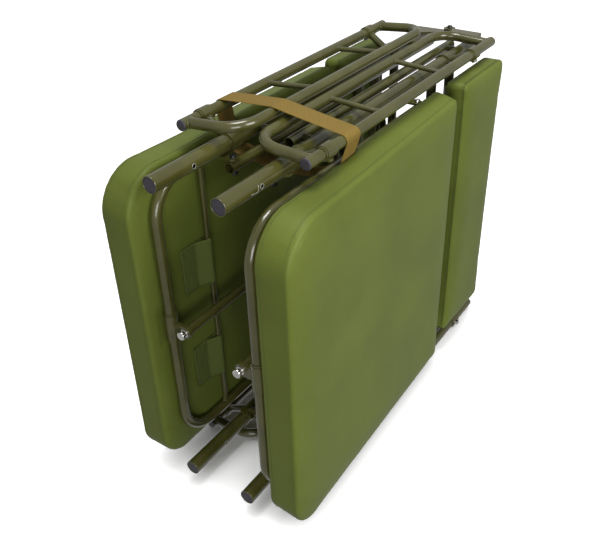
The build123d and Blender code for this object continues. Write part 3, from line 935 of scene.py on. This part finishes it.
    def face(self, ring: np.ndarray, start: int, total: int, swell: float) -> tuple[np.ndarray, list]:
        """Fill a ring with a grid of quads, as a Coons patch.

        Args:
            ring: Border points.
            start: Number of the border's first vertex.
            total: Number of vertices made so far.
            swell: Height of the crown in millimetres.

        Returns:
            The inner points and the faces.
        """
        nx, nz = self.counts()
        size = len(ring)
        low, far = np.arange(nx + 1), (nx + np.arange(nz + 1)) % size
        high = (nx + nz + np.arange(nx + 1))[::-1]
        near = ((2 * nx + nz + np.arange(nz + 1)) % size)[::-1]
        u = np.linspace(0, 1, nx + 1)[:, None, None]
        v = np.linspace(0, 1, nz + 1)[None, :, None]
        edges = [ring[low][:, None], ring[high][:, None], ring[near][None], ring[far][None]]
        corner = [ring[low[0]], ring[low[-1]], ring[high[0]], ring[high[-1]]]
        grid = (1 - v) * edges[0] + v * edges[1] + (1 - u) * edges[2] + u * edges[3]
        grid -= (1 - u) * (1 - v) * corner[0] + u * (1 - v) * corner[1]
        grid -= (1 - u) * v * corner[2] + u * v * corner[3]
        gap = np.minimum(self.border_gap(grid, 0), self.border_gap(grid, 2))
        grid[..., 1] += swell * MM * smooth_step(gap / (self.crown_inset * MM))
        number = np.zeros((nx + 1, nz + 1), int)
        number[1:nx, 1:nz] = total + np.arange((nx - 1) * (nz - 1)).reshape(nx - 1, nz - 1)
        number[:, 0], number[:, nz] = start + low, start + high
        number[0, :], number[nx, :] = start + near, start + far
        loops = []
        for i in range(nx):
            for j in range(nz):
                loops.append([int(number[i, j]), int(number[i + 1, j]),
                              int(number[i + 1, j + 1]), int(number[i, j + 1])])
        return grid[1:nx, 1:nz].reshape(-1, 3), loops

    def inflate(self, piece: bpy.types.Object) -> None:
        """Blow the cover up with cloth pressure, cap how far each point moves and hold the outline.

        Args:
            piece: The cushion, in the layout's own axes.
        """
        first = read_points(piece.data)
        modifier = piece.modifiers.new("pressure", "CLOTH")
        for name, value in COVER_CLOTH.items():
            setattr(modifier.settings, name, value)
        modifier.settings.effector_weights.gravity = 0
        modifier.point_cache.frame_end = self.frames
        scene = bpy.context.scene
        for frame in range(1, self.frames + 1):
            scene.frame_set(frame)
        graph = bpy.context.evaluated_depsgraph_get()
        move = read_points(piece.evaluated_get(graph).data) - first
        piece.modifiers.remove(modifier)
        scene.frame_set(1)
        reach = np.linalg.norm(move, axis=1)[:, None] + 1e-9
        limit = self.cap * MM
        last = first + move * (limit * np.tanh(reach / limit) / reach)
        for axis in (0, 2):
            least, most = last[:, axis].min(), last[:, axis].max()
            share = (last[:, axis] - least) / (most - least)
            last[:, axis] = first[:, axis].min() + share * np.ptp(first[:, axis])
        piece.data.vertices.foreach_set("co", last.ravel())
        piece.data.update()

    def sew(self, points: np.ndarray, normals: np.ndarray) -> np.ndarray:
        """Draw the seams in, and pucker and crease the vinyl beside them, most at the corners.

        Args:
            points: The blown-up points.
            normals: Their normals.

        Returns:
            The sewn points.
        """
        size = self.ring_size
        rows = self.rows()
        inner_seam, seam = self.bend_rings - 1, len(rows) - self.bend_rings
        ring = points[seam * size:(seam + 1) * size]
        along = np.concatenate(([0.0], np.cumsum(step_lengths(ring)))) / MM
        gaps = [np.minimum(self.border_gap(ring, axis) / MM / self.corner_reach, 1.0) for axis in (0, 2)]
        bent = (1 - self.straight_share) * smooth_step(1 - np.maximum(*gaps))
        slow, quick = self.drift
        drift = self.drift_swing * np.sin(along / slow) + np.sin(along / quick + 1.0)
        wave = np.sin(FULL_TURN * along / self.pucker_pitch + drift)
        wave *= (self.straight_share + bent) * self.pucker
        walk = [0.0]
        for (inset, depth), (after_inset, after_depth) in zip(rows, rows[1:]):
            walk.append(walk[-1] + math.hypot(after_inset - inset, after_depth - depth))
        lift = np.zeros(len(points))
        for row, spot in enumerate(walk):
            part = slice(row * size, (row + 1) * size)
            apart = abs(spot - walk[seam])
            share = spot / walk[seam]
            inside = max(1 - abs(2 * share - 1) ** 4, 0.0)
            folds = np.sin(FULL_TURN * along / self.crease_pitch + drift + self.crease_slant * share)
            lift[part] += folds * bent * self.crease * inside
            lift[part] += wave * math.exp(-(apart / self.pucker_reach) ** 2)
            nearest = min(apart, abs(spot - walk[inner_seam]))
            lift[part] -= self.groove * math.exp(-(nearest / self.groove_reach) ** 2)
        return points + normals * (lift * MM)[:, None]

    def lean(self, points: np.ndarray) -> None:
        """Lift the inner top edge towards the far end and let the outer bottom edge hang.

        Args:
            points: Points as X, depth and Z, changed in place.
        """
        outer = smooth_step(points[:, 1] / (self.middle_thick * MM))
        low_down = smooth_step((self.low.z - points[:, 2]) / (self.droop_height * MM) + 1)
        high_up = smooth_step((points[:, 2] - self.high.z) / (self.droop_height * MM) + 1)
        high_up *= smooth_step((points[:, 0] - self.low.x) / (self.rise_length * MM) - self.rise_start)
        points[:, 2] += (self.rise * high_up * (1 - outer) - self.droop * low_down * outer) * MM

    def press(self, points: np.ndarray) -> None:
        """Keep the inner face off its seat, and press in the places where a neighbour lies.

        Args:
            points: Points as X, depth and Z, changed in place.
        """
        floor = np.full(len(points), self.seat_gap * MM)
        for dent in self.dents:
            outside = np.zeros(len(points))
            for axis, low, high in ((0, dent.low[0], dent.high[0]), (2, dent.low[1], dent.high[1])):
                gap = np.maximum(np.maximum(low - points[:, axis], points[:, axis] - high), 0)
                outside = np.hypot(outside, gap)
            near = 1 - smooth_step(outside / (self.dent_ease * MM))
            floor = np.maximum(floor, dent.depth * MM * near)
        points[:, 1] = np.maximum(points[:, 1], floor)

    def build(self, finishes: Finishes) -> bpy.types.Object:
        """Make the cushion and keep the paths of its stitches.

        Args:
            finishes: The built finishes.

        Returns:
            The finished piece.
        """
        points, faces = self.mesh()
        piece = make_object(f"{self.half.word}_{self.kind}_cushion", points, faces, finishes.vinyl)
        self.inflate(piece)
        sewn = self.sew(read_points(piece.data), read_points(piece.data, "normal"))
        self.lean(sewn)
        self.press(sewn)
        sewn[:, 1] = self.inner_y + self.half.value * sewn[:, 1]
        piece.data.vertices.foreach_set("co", sewn.ravel())
        if self.half is Half.FRONT:
            piece.data.flip_normals()
        piece.data.update()
        raised = sewn + read_points(piece.data, "normal") * self.stitch_height * MM
        size = self.ring_size
        last_of_band = self.bend_rings + self.band_rings - 1
        for row in [self.bend_rings] + [last_of_band + 2 * number for number in range(self.stitch_rows)]:
            self.seams.append((raised[row * size:(row + 1) * size], True))
        finer = piece.modifiers.new("round", "SUBSURF")
        finer.levels = finer.render_levels = 1
        dress(piece, self.body, "pad_vinyl", self.node)
        return piece


# Webbing

@dataclass
class PadTabs:
    """Two webbing tabs that loop round a panel's cross bar and are sewn to its cushion."""

    half: Half
    height: float = 104.0
    reach: float = 70.0
    ramp: float = 30.0
    thickness: float = 1.7
    columns: int = 20
    play: float = 0.3
    layers: tuple[float, float] = (1.6, 0.5)
    wrap: tuple[float, float] = (-110.0, 90.0)
    wrap_points: int = 15
    points: int = 90
    smoothing: int = 4
    box_inset: float = 5.0
    box_length: float = 30.0
    thread_lift: float = 0.15

    def line(self, bar: Vector, seat: float) -> np.ndarray:
        """Route of the webbing from its upper sewn end, round the bar and back under itself.

        Args:
            bar: A point on the cross bar's axis.
            seat: Y of the cushion's inner face.

        Returns:
            Points in the XY plane, evenly spaced.
        """
        side = self.half.value
        radius = (TUBE.bar + self.thickness) / 2 + self.play
        over, under = [seat - side * (self.thickness * share + self.play) * MM for share in self.layers]
        ends = (bar.x - self.reach * MM, bar.x - self.ramp * MM)
        spots = [(ends[0], over), (ends[1], over)]
        for angle in np.radians(np.linspace(*self.wrap, self.wrap_points)):
            spots.append((bar.x + radius * math.cos(angle) * MM,
                          bar.y + side * radius * math.sin(angle) * MM))
        spots += [(ends[1], under), (ends[0], under)]
        line = resample(np.array(spots), self.points)
        for _ in range(self.smoothing):
            line[1:-1] = (line[:-2] + 2 * line[1:-1] + line[2:]) / 4
        return line

    def build(self, finishes: Finishes) -> list:
        """Make both tabs and give back the paths of their stitches.

        Args:
            finishes: The built finishes.

        Returns:
            Pairs of stitch path and whether it closes.
        """
        word, side = self.half.word, self.half.value
        bar = middle_of(f"{word}_panel_cross_bar")
        pad_low, pad_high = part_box(f"{word}_long_pad")
        tab_low, tab_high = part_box(f"{word}_pad_tabs")
        flat = self.line(bar, pad_low.y if side > 0 else pad_high.y)
        stitches = []
        for name, middle in (("lower", tab_low.z + self.height / 2 * MM),
                             ("upper", tab_high.z - self.height / 2 * MM)):
            line = np.column_stack([flat, np.full(len(flat), middle)])
            strip = Ribbon(self.height, self.thickness, self.columns)
            piece = strip.build(f"{word}_{name}_pad_tab", line, UP, False, finishes.tab)
            dress(piece, f"{word}_panel", "tab_webbing", f"{word}_pad_tabs")
            y = flat[0, 1] - side * (self.thickness / 2 + self.thread_lift) * MM
            start = self.reach - self.box_inset
            x = [bar.x - start * MM, bar.x - (start - self.box_length) * MM]
            tall = (self.height / 2 - self.box_inset) * MM
            corners = [(x[0], y, middle - tall), (x[1], y, middle - tall),
                       (x[1], y, middle + tall), (x[0], y, middle + tall)]
            stitches.append((corners, True))
            stitches += [([corners[0], corners[2]], False), ([corners[1], corners[3]], False)]
        return stitches


@dataclass
class Strap:
    """Tan webbing drawn round the tubes of both halves, with a slack run underneath."""

    width: float = 46.0
    thickness: float = 1.8
    gap: float = 0.4
    sag: float = 17.0
    sag_zone: float = 30.0
    level_zone: float = 1.0
    sway: float = 1.2
    step: float = 4.0
    round_points: int = 72

    def rounds(self) -> list:
        """Find the tubes that the strap lies on.

        Returns:
            Y, Z and radius of each tube in metres.
        """
        found = []
        frame, bow = TUBE.frame / 2 * MM, TUBE.bow / 2 * MM
        for half in Half:
            low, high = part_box(f"{half.word}_upper_guard_rail")
            found.append(((low.y + high.y) / 2, (low.z + high.z) / 2, frame))
            low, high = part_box(f"{half.word}_upper_guard_bow")
            found.append((high.y - bow if half is Half.FRONT else low.y + bow, high.z - bow, bow))
            for node in ("panel_frame", "leg_frame"):
                low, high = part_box(f"{half.word}_{node}")
                found.append(((low.y + high.y) / 2, high.z - frame, frame))
        return found

    def loop(self) -> np.ndarray:
        """Draw a tight line round those tubes, sagging underneath.

        Returns:
            Evenly spaced points in the YZ plane.
        """
        spare = (self.gap + self.thickness / 2) * MM
        cloud = []
        for y, z, radius in self.rounds():
            for angle in np.linspace(0, FULL_TURN, self.round_points, endpoint=False):
                cloud.append((y + (radius + spare) * math.cos(angle), z + (radius + spare) * math.sin(angle)))
        cloud.sort()
        hull = []
        for order in (cloud, cloud[::-1]):
            chain = []
            for spot in order:
                while len(chain) > 1 and self.turns_right(chain[-2], chain[-1], spot):
                    chain.pop()
                chain.append(spot)
            hull += chain[:-1]
        line = np.array(hull + hull[:1])
        line = resample(line, round(step_lengths(line).sum() / (self.step * MM)))[:-1]
        bottom = line[:, 1].min()
        reach = np.abs(line[line[:, 1] < bottom + self.level_zone * MM, 0]).max()
        under = (line[:, 1] < bottom + self.sag_zone * MM) & (np.abs(line[:, 0]) < reach)
        hang = np.where(under, 1 - (line[:, 0] / reach) ** 2, 0.0)
        line[:, 1] -= self.sag * MM * hang
        return line

    @staticmethod
    def turns_right(first: tuple, middle: tuple, last: tuple) -> bool:
        """Whether three points turn right or run straight."""
        return ((middle[0] - first[0]) * (last[1] - first[1])
                - (middle[1] - first[1]) * (last[0] - first[0])) <= 0

    def build(self, finishes: Finishes) -> bpy.types.Object:
        """Make the strap.

        Args:
            finishes: The built finishes.

        Returns:
            The finished piece.
        """
        low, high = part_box("strap")
        flat = self.loop()
        line = np.column_stack([np.full(len(flat), (low.x + high.x) / 2), flat])
        line[:, 0] += self.sway * MM * np.sin(np.linspace(0, 2 * FULL_TURN, len(line), endpoint=False))
        piece = Ribbon(self.width, self.thickness).build("strap_loop", line, ALONG, True, finishes.strap)
        dress(piece, "rear_half", "strap_webbing", "strap")
        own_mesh(piece)
        return piece


# Metal and moulded details

def tube_ends(node: str) -> list:
    """Find both ends of a node's tube along X.

    Args:
        node: Name of the node.

    Returns:
        End point and outward way of each end.
    """
    low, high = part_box(node)
    middle = (low + high) / 2
    return [(slide(middle, low.x), -ALONG), (slide(middle, high.x), ALONG)]


@dataclass
class TubeEnds:
    """Flush plugs in the main rails, with the rails' bright rims, and rounded caps on the guards."""

    wall: float = 1.8
    proud: float = 3.0
    rail_sides: int = 40

    def rim(self) -> list:
        """Profile of a rail's rim round its plug."""
        outer, inner = TUBE.rail / 2, TUBE.rail / 2 - self.wall
        return [(inner, 0.0), (outer, 0.0), (outer, self.proud - 0.5), (outer - 0.5, self.proud),
                (inner + 0.4, self.proud), (inner, self.proud - 0.4), (inner, 0.0)]

    def plug(self) -> list:
        """Profile of a rail's plug."""
        radius = TUBE.rail / 2 - self.wall - 0.1
        return [(0.0, self.proud - 0.5), (radius - 3.0, self.proud - 0.6), (radius - 1.0, self.proud - 0.8),
                (radius, self.proud - 1.4), (radius, 0.0), (0.0, 0.0)]

    def cap(self) -> list:
        """Profile of a guard's end cap."""
        radius = TUBE.frame / 2
        return [(0.0, self.proud), (radius - 2.6, self.proud), (radius - 1.0, self.proud - 0.4),
                (radius - 0.2, self.proud - 1.3), (radius, 0.8), (radius, 0.0), (0.0, 0.0)]

    def build(self, half: Half, finishes: Finishes) -> None:
        """Make one half's rims, plugs and caps.

        Args:
            half: Which half.
            finishes: The built finishes.
        """
        word = half.word
        rims, plugs = [], []
        for level in Level:
            for centre, out in tube_ends(f"{word}_rail_{level.word}"):
                rims.append(lathe(self.rim(), centre, out, self.rail_sides))
                plugs.append(lathe(self.plug(), centre, out, self.rail_sides))
            guard = f"{word}_{level.word}_guard"
            caps = [lathe(self.cap(), centre, out) for centre, out in tube_ends(guard + "_rail")]
            add_solid(guard + "_end_caps", caps, finishes.plug, guard, "end_plug", guard + "_caps")
        add_solid(f"{word}_rail_end_plugs", plugs, finishes.plug, f"{word}_half", "end_plug",
                  f"{word}_rail_plugs")
        add_solid(f"{word}_rail_end_rims", rims, finishes.paint, f"{word}_half", "tube_paint")


@dataclass
class BareMetal:
    """Paint worn through to the steel: the rims of the rails' cross holes and one bent scratch."""

    hole_at: float = 91.0
    hole_r: float = 4.5
    rim: float = 0.35
    rim_points: int = 32
    scratch: float = 0.4
    scratch_points: int = 24
    strokes: tuple = ((-9.0, 24.0), (-11.0, -22.0), (-29.0, -10.0))

    @staticmethod
    def on_rail(centre: Vector, side: float, x: float, angle: float) -> Vector:
        """Find a point on a rail's skin.

        Args:
            centre: Point on the rail's axis beside the hole, in metres.
            side: Which way the skin faces, along Y.
            x: Distance along the rail from the hole, in millimetres.
            angle: Degrees up from the level.

        Returns:
            The point in metres.
        """
        turn = math.radians(angle)
        reach = TUBE.rail / 2
        return centre + Vector((x, side * reach * math.cos(turn), reach * math.sin(turn))) * MM

    def build(self, half: Half, finishes: Finishes) -> None:
        """Make one half's rims, and the scratch on the front half's upper rail.

        Args:
            half: Which half.
            finishes: The built finishes.
        """
        shapes = []
        for level in Level:
            rail = f"{half.word}_rail_{level.word}"
            centre = slide(middle_of(rail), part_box(rail)[0].x + self.hole_at * MM)
            for side in (-1, 1):
                line = []
                for turn in np.linspace(0, FULL_TURN, self.rim_points, endpoint=False):
                    rise = math.degrees(math.asin(self.hole_r * math.sin(turn) * 2 / TUBE.rail))
                    line.append(self.on_rail(centre, side, self.hole_r * math.cos(turn), rise))
                shapes.append(bead(line, self.rim, ACROSS, True))
            if half is Half.FRONT and level is Level.UPPER:
                route = resample(np.array(self.strokes), self.scratch_points)
                line = [self.on_rail(centre, -1, x, angle) for x, angle in route]
                shapes.append(bead(line, self.scratch, ACROSS, False))
        add_solid(f"{half.word}_bare_steel", shapes, finishes.bare, f"{half.word}_half", "bolt_chrome")


@dataclass
class PropBolt:
    """The bolt that joins a prop to its lug: washer, collar and a flat round head."""

    head_height: float = 5.0
    sharp_above: float = 40.0
    profile: tuple = ((0, -7.5), (3.9, -7.5), (3.9, 0), (8.8, 0), (8.8, 1.8), (6.2, 1.8), (6.2, 8.6),
                      (8.4, 8.6), (9.2, 9.4), (9.2, 12.6), (8.2, 13.8), (0, 14.4))

    def build(self, half: Half, finishes: Finishes) -> None:
        """Make one half's bolt.

        Args:
            half: Which half.
            finishes: The built finishes.
        """
        node = f"{half.word}_prop_bolt"
        seat = slide(middle_of(node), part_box(node)[0].x + self.head_height * MM)
        shape = lathe(list(self.profile), seat, -ALONG)
        piece = add_solid(f"{half.word}_prop_stud", [shape], finishes.chrome, f"{half.word}_prop",
                          "bolt_chrome", node)
        piece.data.set_sharp_from_angle(angle=math.radians(self.sharp_above))


def saddle(foot: Vector, out: Vector, along: Vector, rod: float, tube: float) -> tuple[list, bool]:
    """Draw the closed line where a round bar meets a tube at a right angle.

    Args:
        foot: Point on the tube's axis, in metres.
        out: Way from the tube along the bar.
        along: Way along the tube.
        rod: The bar's diameter in millimetres.
        tube: The tube's diameter in millimetres.

    Returns:
        The line's points, and that it closes.
    """
    points, lift, clear = 40, 0.4, 0.3
    out, along = out.normalized(), along.normalized()
    beside = out.cross(along)
    line = []
    for angle in np.linspace(0, FULL_TURN, points, endpoint=False):
        off = rod / 2 * math.sin(angle)
        height = math.sqrt(max((tube / 2) ** 2 - off ** 2, 0.0)) + lift
        line.append(foot + (out * height + along * (rod / 2 + clear) * math.cos(angle) + beside * off) * MM)
    return line, True


@dataclass
class WeldSeams:
    """Weld beads where the frame's tubes meet, rippled like a hand-run bead."""

    sleeve_wall: float = 3.2
    arm_inset: float = 14.0
    rungs: tuple = (404.0, 662.0)
    post_spacing: float = 360.0
    beads: PathRepeats = field(default_factory=lambda: PathRepeats(
        "weld_ripples", pitch=2.4, length=3.4, width=3.0, spread=0.18, seed=7))

    def guard(self, half: Half, level: Level) -> list:
        """Draw the weld lines of one guard's bow and rungs.

        Args:
            half: Which half.
            level: Which of its guards.

        Returns:
            The weld lines.
        """
        name = f"{half.word}_{level.word}_guard"
        outer = middle_of(name + "_rail")
        low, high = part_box(name + "_bow")
        radius = TUBE.bow / 2 * MM
        inner = Vector((0, high.y - radius if half is Half.FRONT else low.y + radius,
                        high.z - radius if level is Level.UPPER else low.z + radius))
        way = slide(inner - outer, 0)
        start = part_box(f"{half.word}_rail_upper")[0].x
        lines = [saddle(slide(outer, x), way, ALONG, TUBE.bow, TUBE.frame)
                 for x in (low.x + radius, high.x - radius)]
        for rung in self.rungs:
            x = start + rung * MM
            lines.append(saddle(slide(outer, x), way, ALONG, TUBE.rung, TUBE.frame))
            lines.append(saddle(slide(inner, x), -way, ALONG, TUBE.rung, TUBE.bow))
        return lines

    def half_frame(self, half: Half) -> list:
        """Draw the weld lines of one half's cross tubes, posts and arms.

        Args:
            half: Which half.

        Returns:
            The weld lines.
        """
        word, across = half.word, ACROSS * half.value
        low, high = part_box(f"{word}_cross_tubes")
        bearer_low, bearer_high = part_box(f"{word}_seat_bearers")
        radius = TUBE.frame / 2 * MM
        bearer_y = bearer_high.y - radius if half is Half.REAR else bearer_low.y + radius
        middle = (low + high) / 2
        lines = []
        for x in (low.x + radius, high.x - radius):
            for level in Level:
                rail = slide(middle_of(f"{word}_rail_{level.word}"), x)
                lines.append(saddle(rail, UP * -level.value, ALONG, TUBE.frame, TUBE.rail))
                z = middle.z + level.value * self.post_spacing / 2 * MM
                lines.append(saddle(Vector((x, middle.y, z)), across, UP, TUBE.post, TUBE.frame))
                lines.append(saddle(Vector((x, bearer_y, z)), -across, UP, TUBE.post, TUBE.frame))
        arm_low, arm_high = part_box(f"{word}_guard_arms")
        sleeve = 2 * self.sleeve_wall
        for level in Level:
            rail = middle_of(f"{word}_rail_{level.word}")
            guard = middle_of(f"{word}_{level.word}_guard_rail")
            way = slide(guard - rail, 0)
            for x in (arm_low.x + self.arm_inset * MM, arm_high.x - self.arm_inset * MM):
                lines.append(saddle(slide(rail, x), way, ALONG, TUBE.arm, TUBE.rail + sleeve))
                lines.append(saddle(slide(guard, x), -way, ALONG, TUBE.arm, TUBE.frame + sleeve))
        return lines

    def panel(self, half: Half) -> list:
        """Draw the weld lines of one panel's cross bar.

        Args:
            half: Which half.

        Returns:
            The weld lines.
        """
        low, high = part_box(f"{half.word}_panel_frame")
        bar = middle_of(f"{half.word}_panel_cross_bar")
        radius = TUBE.frame / 2 * MM
        return [saddle(Vector((bar.x, bar.y, z)), way, ALONG, TUBE.bar, TUBE.frame)
                for z, way in ((high.z - radius, -UP), (low.z + radius, UP))]

    def build(self, half: Half, finishes: Finishes) -> None:
        """Make one half's weld beads, one piece for each body.

        Args:
            half: Which half.
            finishes: The built finishes.
        """
        seams = {f"{half.word}_half": self.half_frame(half), f"{half.word}_panel": self.panel(half)}
        for level in Level:
            seams[f"{half.word}_{level.word}_guard"] = self.guard(half, level)
        for body, lines in seams.items():
            dress(self.beads.build(body + "_welds", lines, finishes.paint), body, "tube_paint")


# Studio

@dataclass
class Studio:
    """Camera at the picture's viewing angle, a white floor and soft lights; all in metres and watts."""

    eye: tuple = (-1.26633, -0.77125, 1.28260)
    right: tuple = (0.56016093, -0.82799756, -0.02529379)
    up: tuple = (0.46775115, 0.29094979, 0.83459995)
    ahead: tuple = (0.6836875, 0.47934149, -0.55027551)
    lens: float = 44.602
    sensor: float = 36.0
    view_end: float = 40.0
    floor_size: float = 14.0
    floor_colour: str = "#FAFAFA"
    floor_glow: float = 0.9
    shadow_reach: float = 0.45
    shadow_range: tuple = (0.25, 0.8)
    sky: float = 0.3
    under_sky: float = 0.05
    sky_range: tuple = (-0.25, 0.45)
    mirrored_sky: float = 0.48
    aim: tuple = (0.0, 0.0, 0.45)
    lights: tuple = (("key", (-0.4, -2.6, 1.8), 1.4, 53), ("top", (-0.2, 0.1, 3.0), 0.9, 36),
                     ("fill", (-2.4, -1.6, 1.0), 1.2, 30))

    def place_camera(self) -> None:
        """Make the camera and set it as the scene's own."""
        data = bpy.data.cameras.new("camera")
        data.lens = self.lens
        data.sensor_width = self.sensor
        data.sensor_fit = "HORIZONTAL"
        data.clip_end = self.view_end
        camera = add_object("camera", data)
        turn = Matrix((self.right, self.up, tuple(-value for value in self.ahead))).transposed()
        camera.matrix_world = Matrix.Translation(self.eye) @ turn.to_4x4()
        bpy.context.scene.camera = camera

    def add_light(self, name: str, place: tuple, size: float, power: float) -> None:
        """Add a square soft light that faces the cot.

        Args:
            name: Name of the light.
            place: Its place in metres.
            size: Length of its side in metres.
            power: Watts.
        """
        data = bpy.data.lights.new(name, "AREA")
        data.size = size
        data.energy = power
        lamp = add_object(name, data)
        lamp.location = place
        lamp.rotation_euler = (Vector(self.aim) - Vector(place)).to_track_quat("-Z", "Y").to_euler()

    def lay_floor(self) -> None:
        """Lay a plain white floor that glows evenly, with a painted shadow where the cot stands close above
        it.
        """
        reach = self.floor_size / 2
        material = bpy.data.materials.new("white_floor")
        material.use_nodes = True
        tree = material.node_tree
        # Painted shadow: ambient occlusion dims the floor's glow under and between the cot's panels, as a
        # contact shadow
        near = add_node(tree, "ShaderNodeAmbientOcclusion", {"Distance": self.shadow_reach})
        dark, bright = self.shadow_range
        glow_with_painted_shadow = add_node(tree, "ShaderNodeMapRange",
                        {"Value": near.outputs["AO"], "From Min": dark, "From Max": bright,
                         "To Max": self.floor_glow})
        colour = linear(self.floor_colour)
        set_inputs(tree.nodes["Principled BSDF"],
                   {"Base Color": colour, "Emission Color": colour,
                    "Emission Strength": glow_with_painted_shadow.outputs["Result"], "Roughness": 0.9})
        corners = [(-reach, -reach, 0), (reach, -reach, 0), (reach, reach, 0), (-reach, reach, 0)]
        floor = make_object("floor", corners, [[0, 1, 2, 3]], material)
        floor.visible_diffuse = False
        floor.visible_glossy = False

    def light_sky(self) -> None:
        """Light the room by height, with its own strength for reflections and a white backdrop."""
        world = bpy.data.worlds.new("studio")
        world.use_nodes = True
        tree = world.node_tree
        way = add_node(tree, "ShaderNodeTexCoord").outputs["Generated"]
        height = add_node(tree, "ShaderNodeSeparateXYZ", {"Vector": way}).outputs["Z"]
        low, high = self.sky_range
        sky = add_node(tree, "ShaderNodeMapRange",
                       {"Value": height, "From Min": low, "From Max": high,
                        "To Min": self.under_sky, "To Max": self.sky})
        ray = add_node(tree, "ShaderNodeLightPath")
        strength = add_node(tree, "ShaderNodeMix",
                            {"Factor": ray.outputs["Is Glossy Ray"], 2: sky.outputs["Result"],
                             3: self.mirrored_sky}, data_type="FLOAT")
        seen = add_node(tree, "ShaderNodeMath",
                        {0: strength.outputs[0], 1: ray.outputs["Is Camera Ray"]}, operation="ADD")
        set_inputs(tree.nodes["Background"], {"Color": grey(1.0), "Strength": seen.outputs[0]})
        bpy.context.scene.world = world

    def build(self) -> None:
        """Build the whole studio."""
        bpy.context.scene.view_settings.view_transform = "Standard"
        self.light_sky()
        self.place_camera()
        self.lay_floor()
        for light in self.lights:
            self.add_light(*light)


def paint_nodes(frame: dict, finishes: Finishes) -> None:
    """Give every carried-over node the finish of its material slot, paint some bolts, and darken the hinge
    bolts and, as painted shade, the leg pivot bolts.

    Args:
        frame: The loaded frame.
        finishes: The built finishes.
    """
    for part in frame["record"]["subparts"]:
        mesh = frame["nodes"][part["node"]].data
        mesh.materials.clear()
        mesh.materials.append(finishes.for_slot(part["material_slot"]))
    # The hinge bolts are dark steel; the leg pivot bolts are made dark as painted shade inside the folded
    # pack
    for node in ("hinge_bolts", "front_leg_pivot_bolts", "rear_leg_pivot_bolts"):
        frame["nodes"][node].data.materials[0] = finishes.dark_bolt
    for half in Half:
        node = f"{half.word}_guard_arm_bolts"
        bolts = frame["nodes"][node].data
        bolts.materials.append(finishes.paint)
        middle = middle_of(node).x
        for face in bolts.polygons:
            face.material_index = int(face.center.x < middle)


def long_pad_dents(half: Half) -> list:
    """Find where the strap and the prop's sleeve press into a long cushion.

    Args:
        half: Which half.

    Returns:
        The dents.
    """
    # Heights in metres between which the strap comes round the panel tube and lies deepest
    tube_from, tube_to = 0.695, 0.74
    strap_low, strap_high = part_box("strap")
    sleeve_low, sleeve_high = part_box(f"{half.word}_prop_sleeve")
    ring_low, ring_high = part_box(f"{half.word}_stop_rings")
    return [Dent((strap_low.x, strap_low.z), (strap_high.x, tube_from), depth=5.0),
            Dent((strap_low.x, tube_from), (strap_high.x, tube_to), depth=14.5),
            Dent((sleeve_low.x, ring_low.z), (sleeve_high.x, ring_high.z), depth=4.0)]


def main() -> None:
    """Load the frame and dress it piece by piece."""
    logging.basicConfig(level=logging.INFO, format="%(name)s: %(message)s")
    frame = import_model()
    finishes = Finishes.make()
    paint_nodes(frame, finishes)
    Studio().build()
    stitches = PathRepeats("seam_stitches", pitch=5.5, length=4.2, width=0.9, spread=0.08, seed=3)
    details = (TubeEnds(), BareMetal(), PropBolt(), WeldSeams())
    for half in Half:
        panel, half_body = f"{half.word}_panel", f"{half.word}_half"
        long_pad = Cushion(half, "long", panel, thick=(80.0, 60.0), near_bend=(64.0, 92.0),
                           dents=long_pad_dents(half), rise=12.0,
                           droop=8.0 if half is Half.FRONT else 0.0)
        long_pad.build(finishes)
        short_pad = Cushion(half, "short", half_body, thick=(57.0, 57.0), near_bend=(14.0, 14.0),
                            groove=1.4, pucker=1.3, pucker_pitch=15.0, stitch_rows=2)
        short_pad.build(finishes)
        tab_seams = PadTabs(half).build(finishes)
        for body, name, paths, thread in (
                (panel, "long_pad_stitches", long_pad.seams, finishes.thread),
                (panel, "tab_stitches", tab_seams, finishes.tab_thread),
                (half_body, "short_pad_stitches", short_pad.seams, finishes.tab_thread)):
            dress(stitches.build(f"{half.word}_{name}", paths, thread), body, "pad_vinyl")
        for detail in details:
            detail.build(half, finishes)
    Strap().build(finishes)


if __name__ == "__main__":
    main()
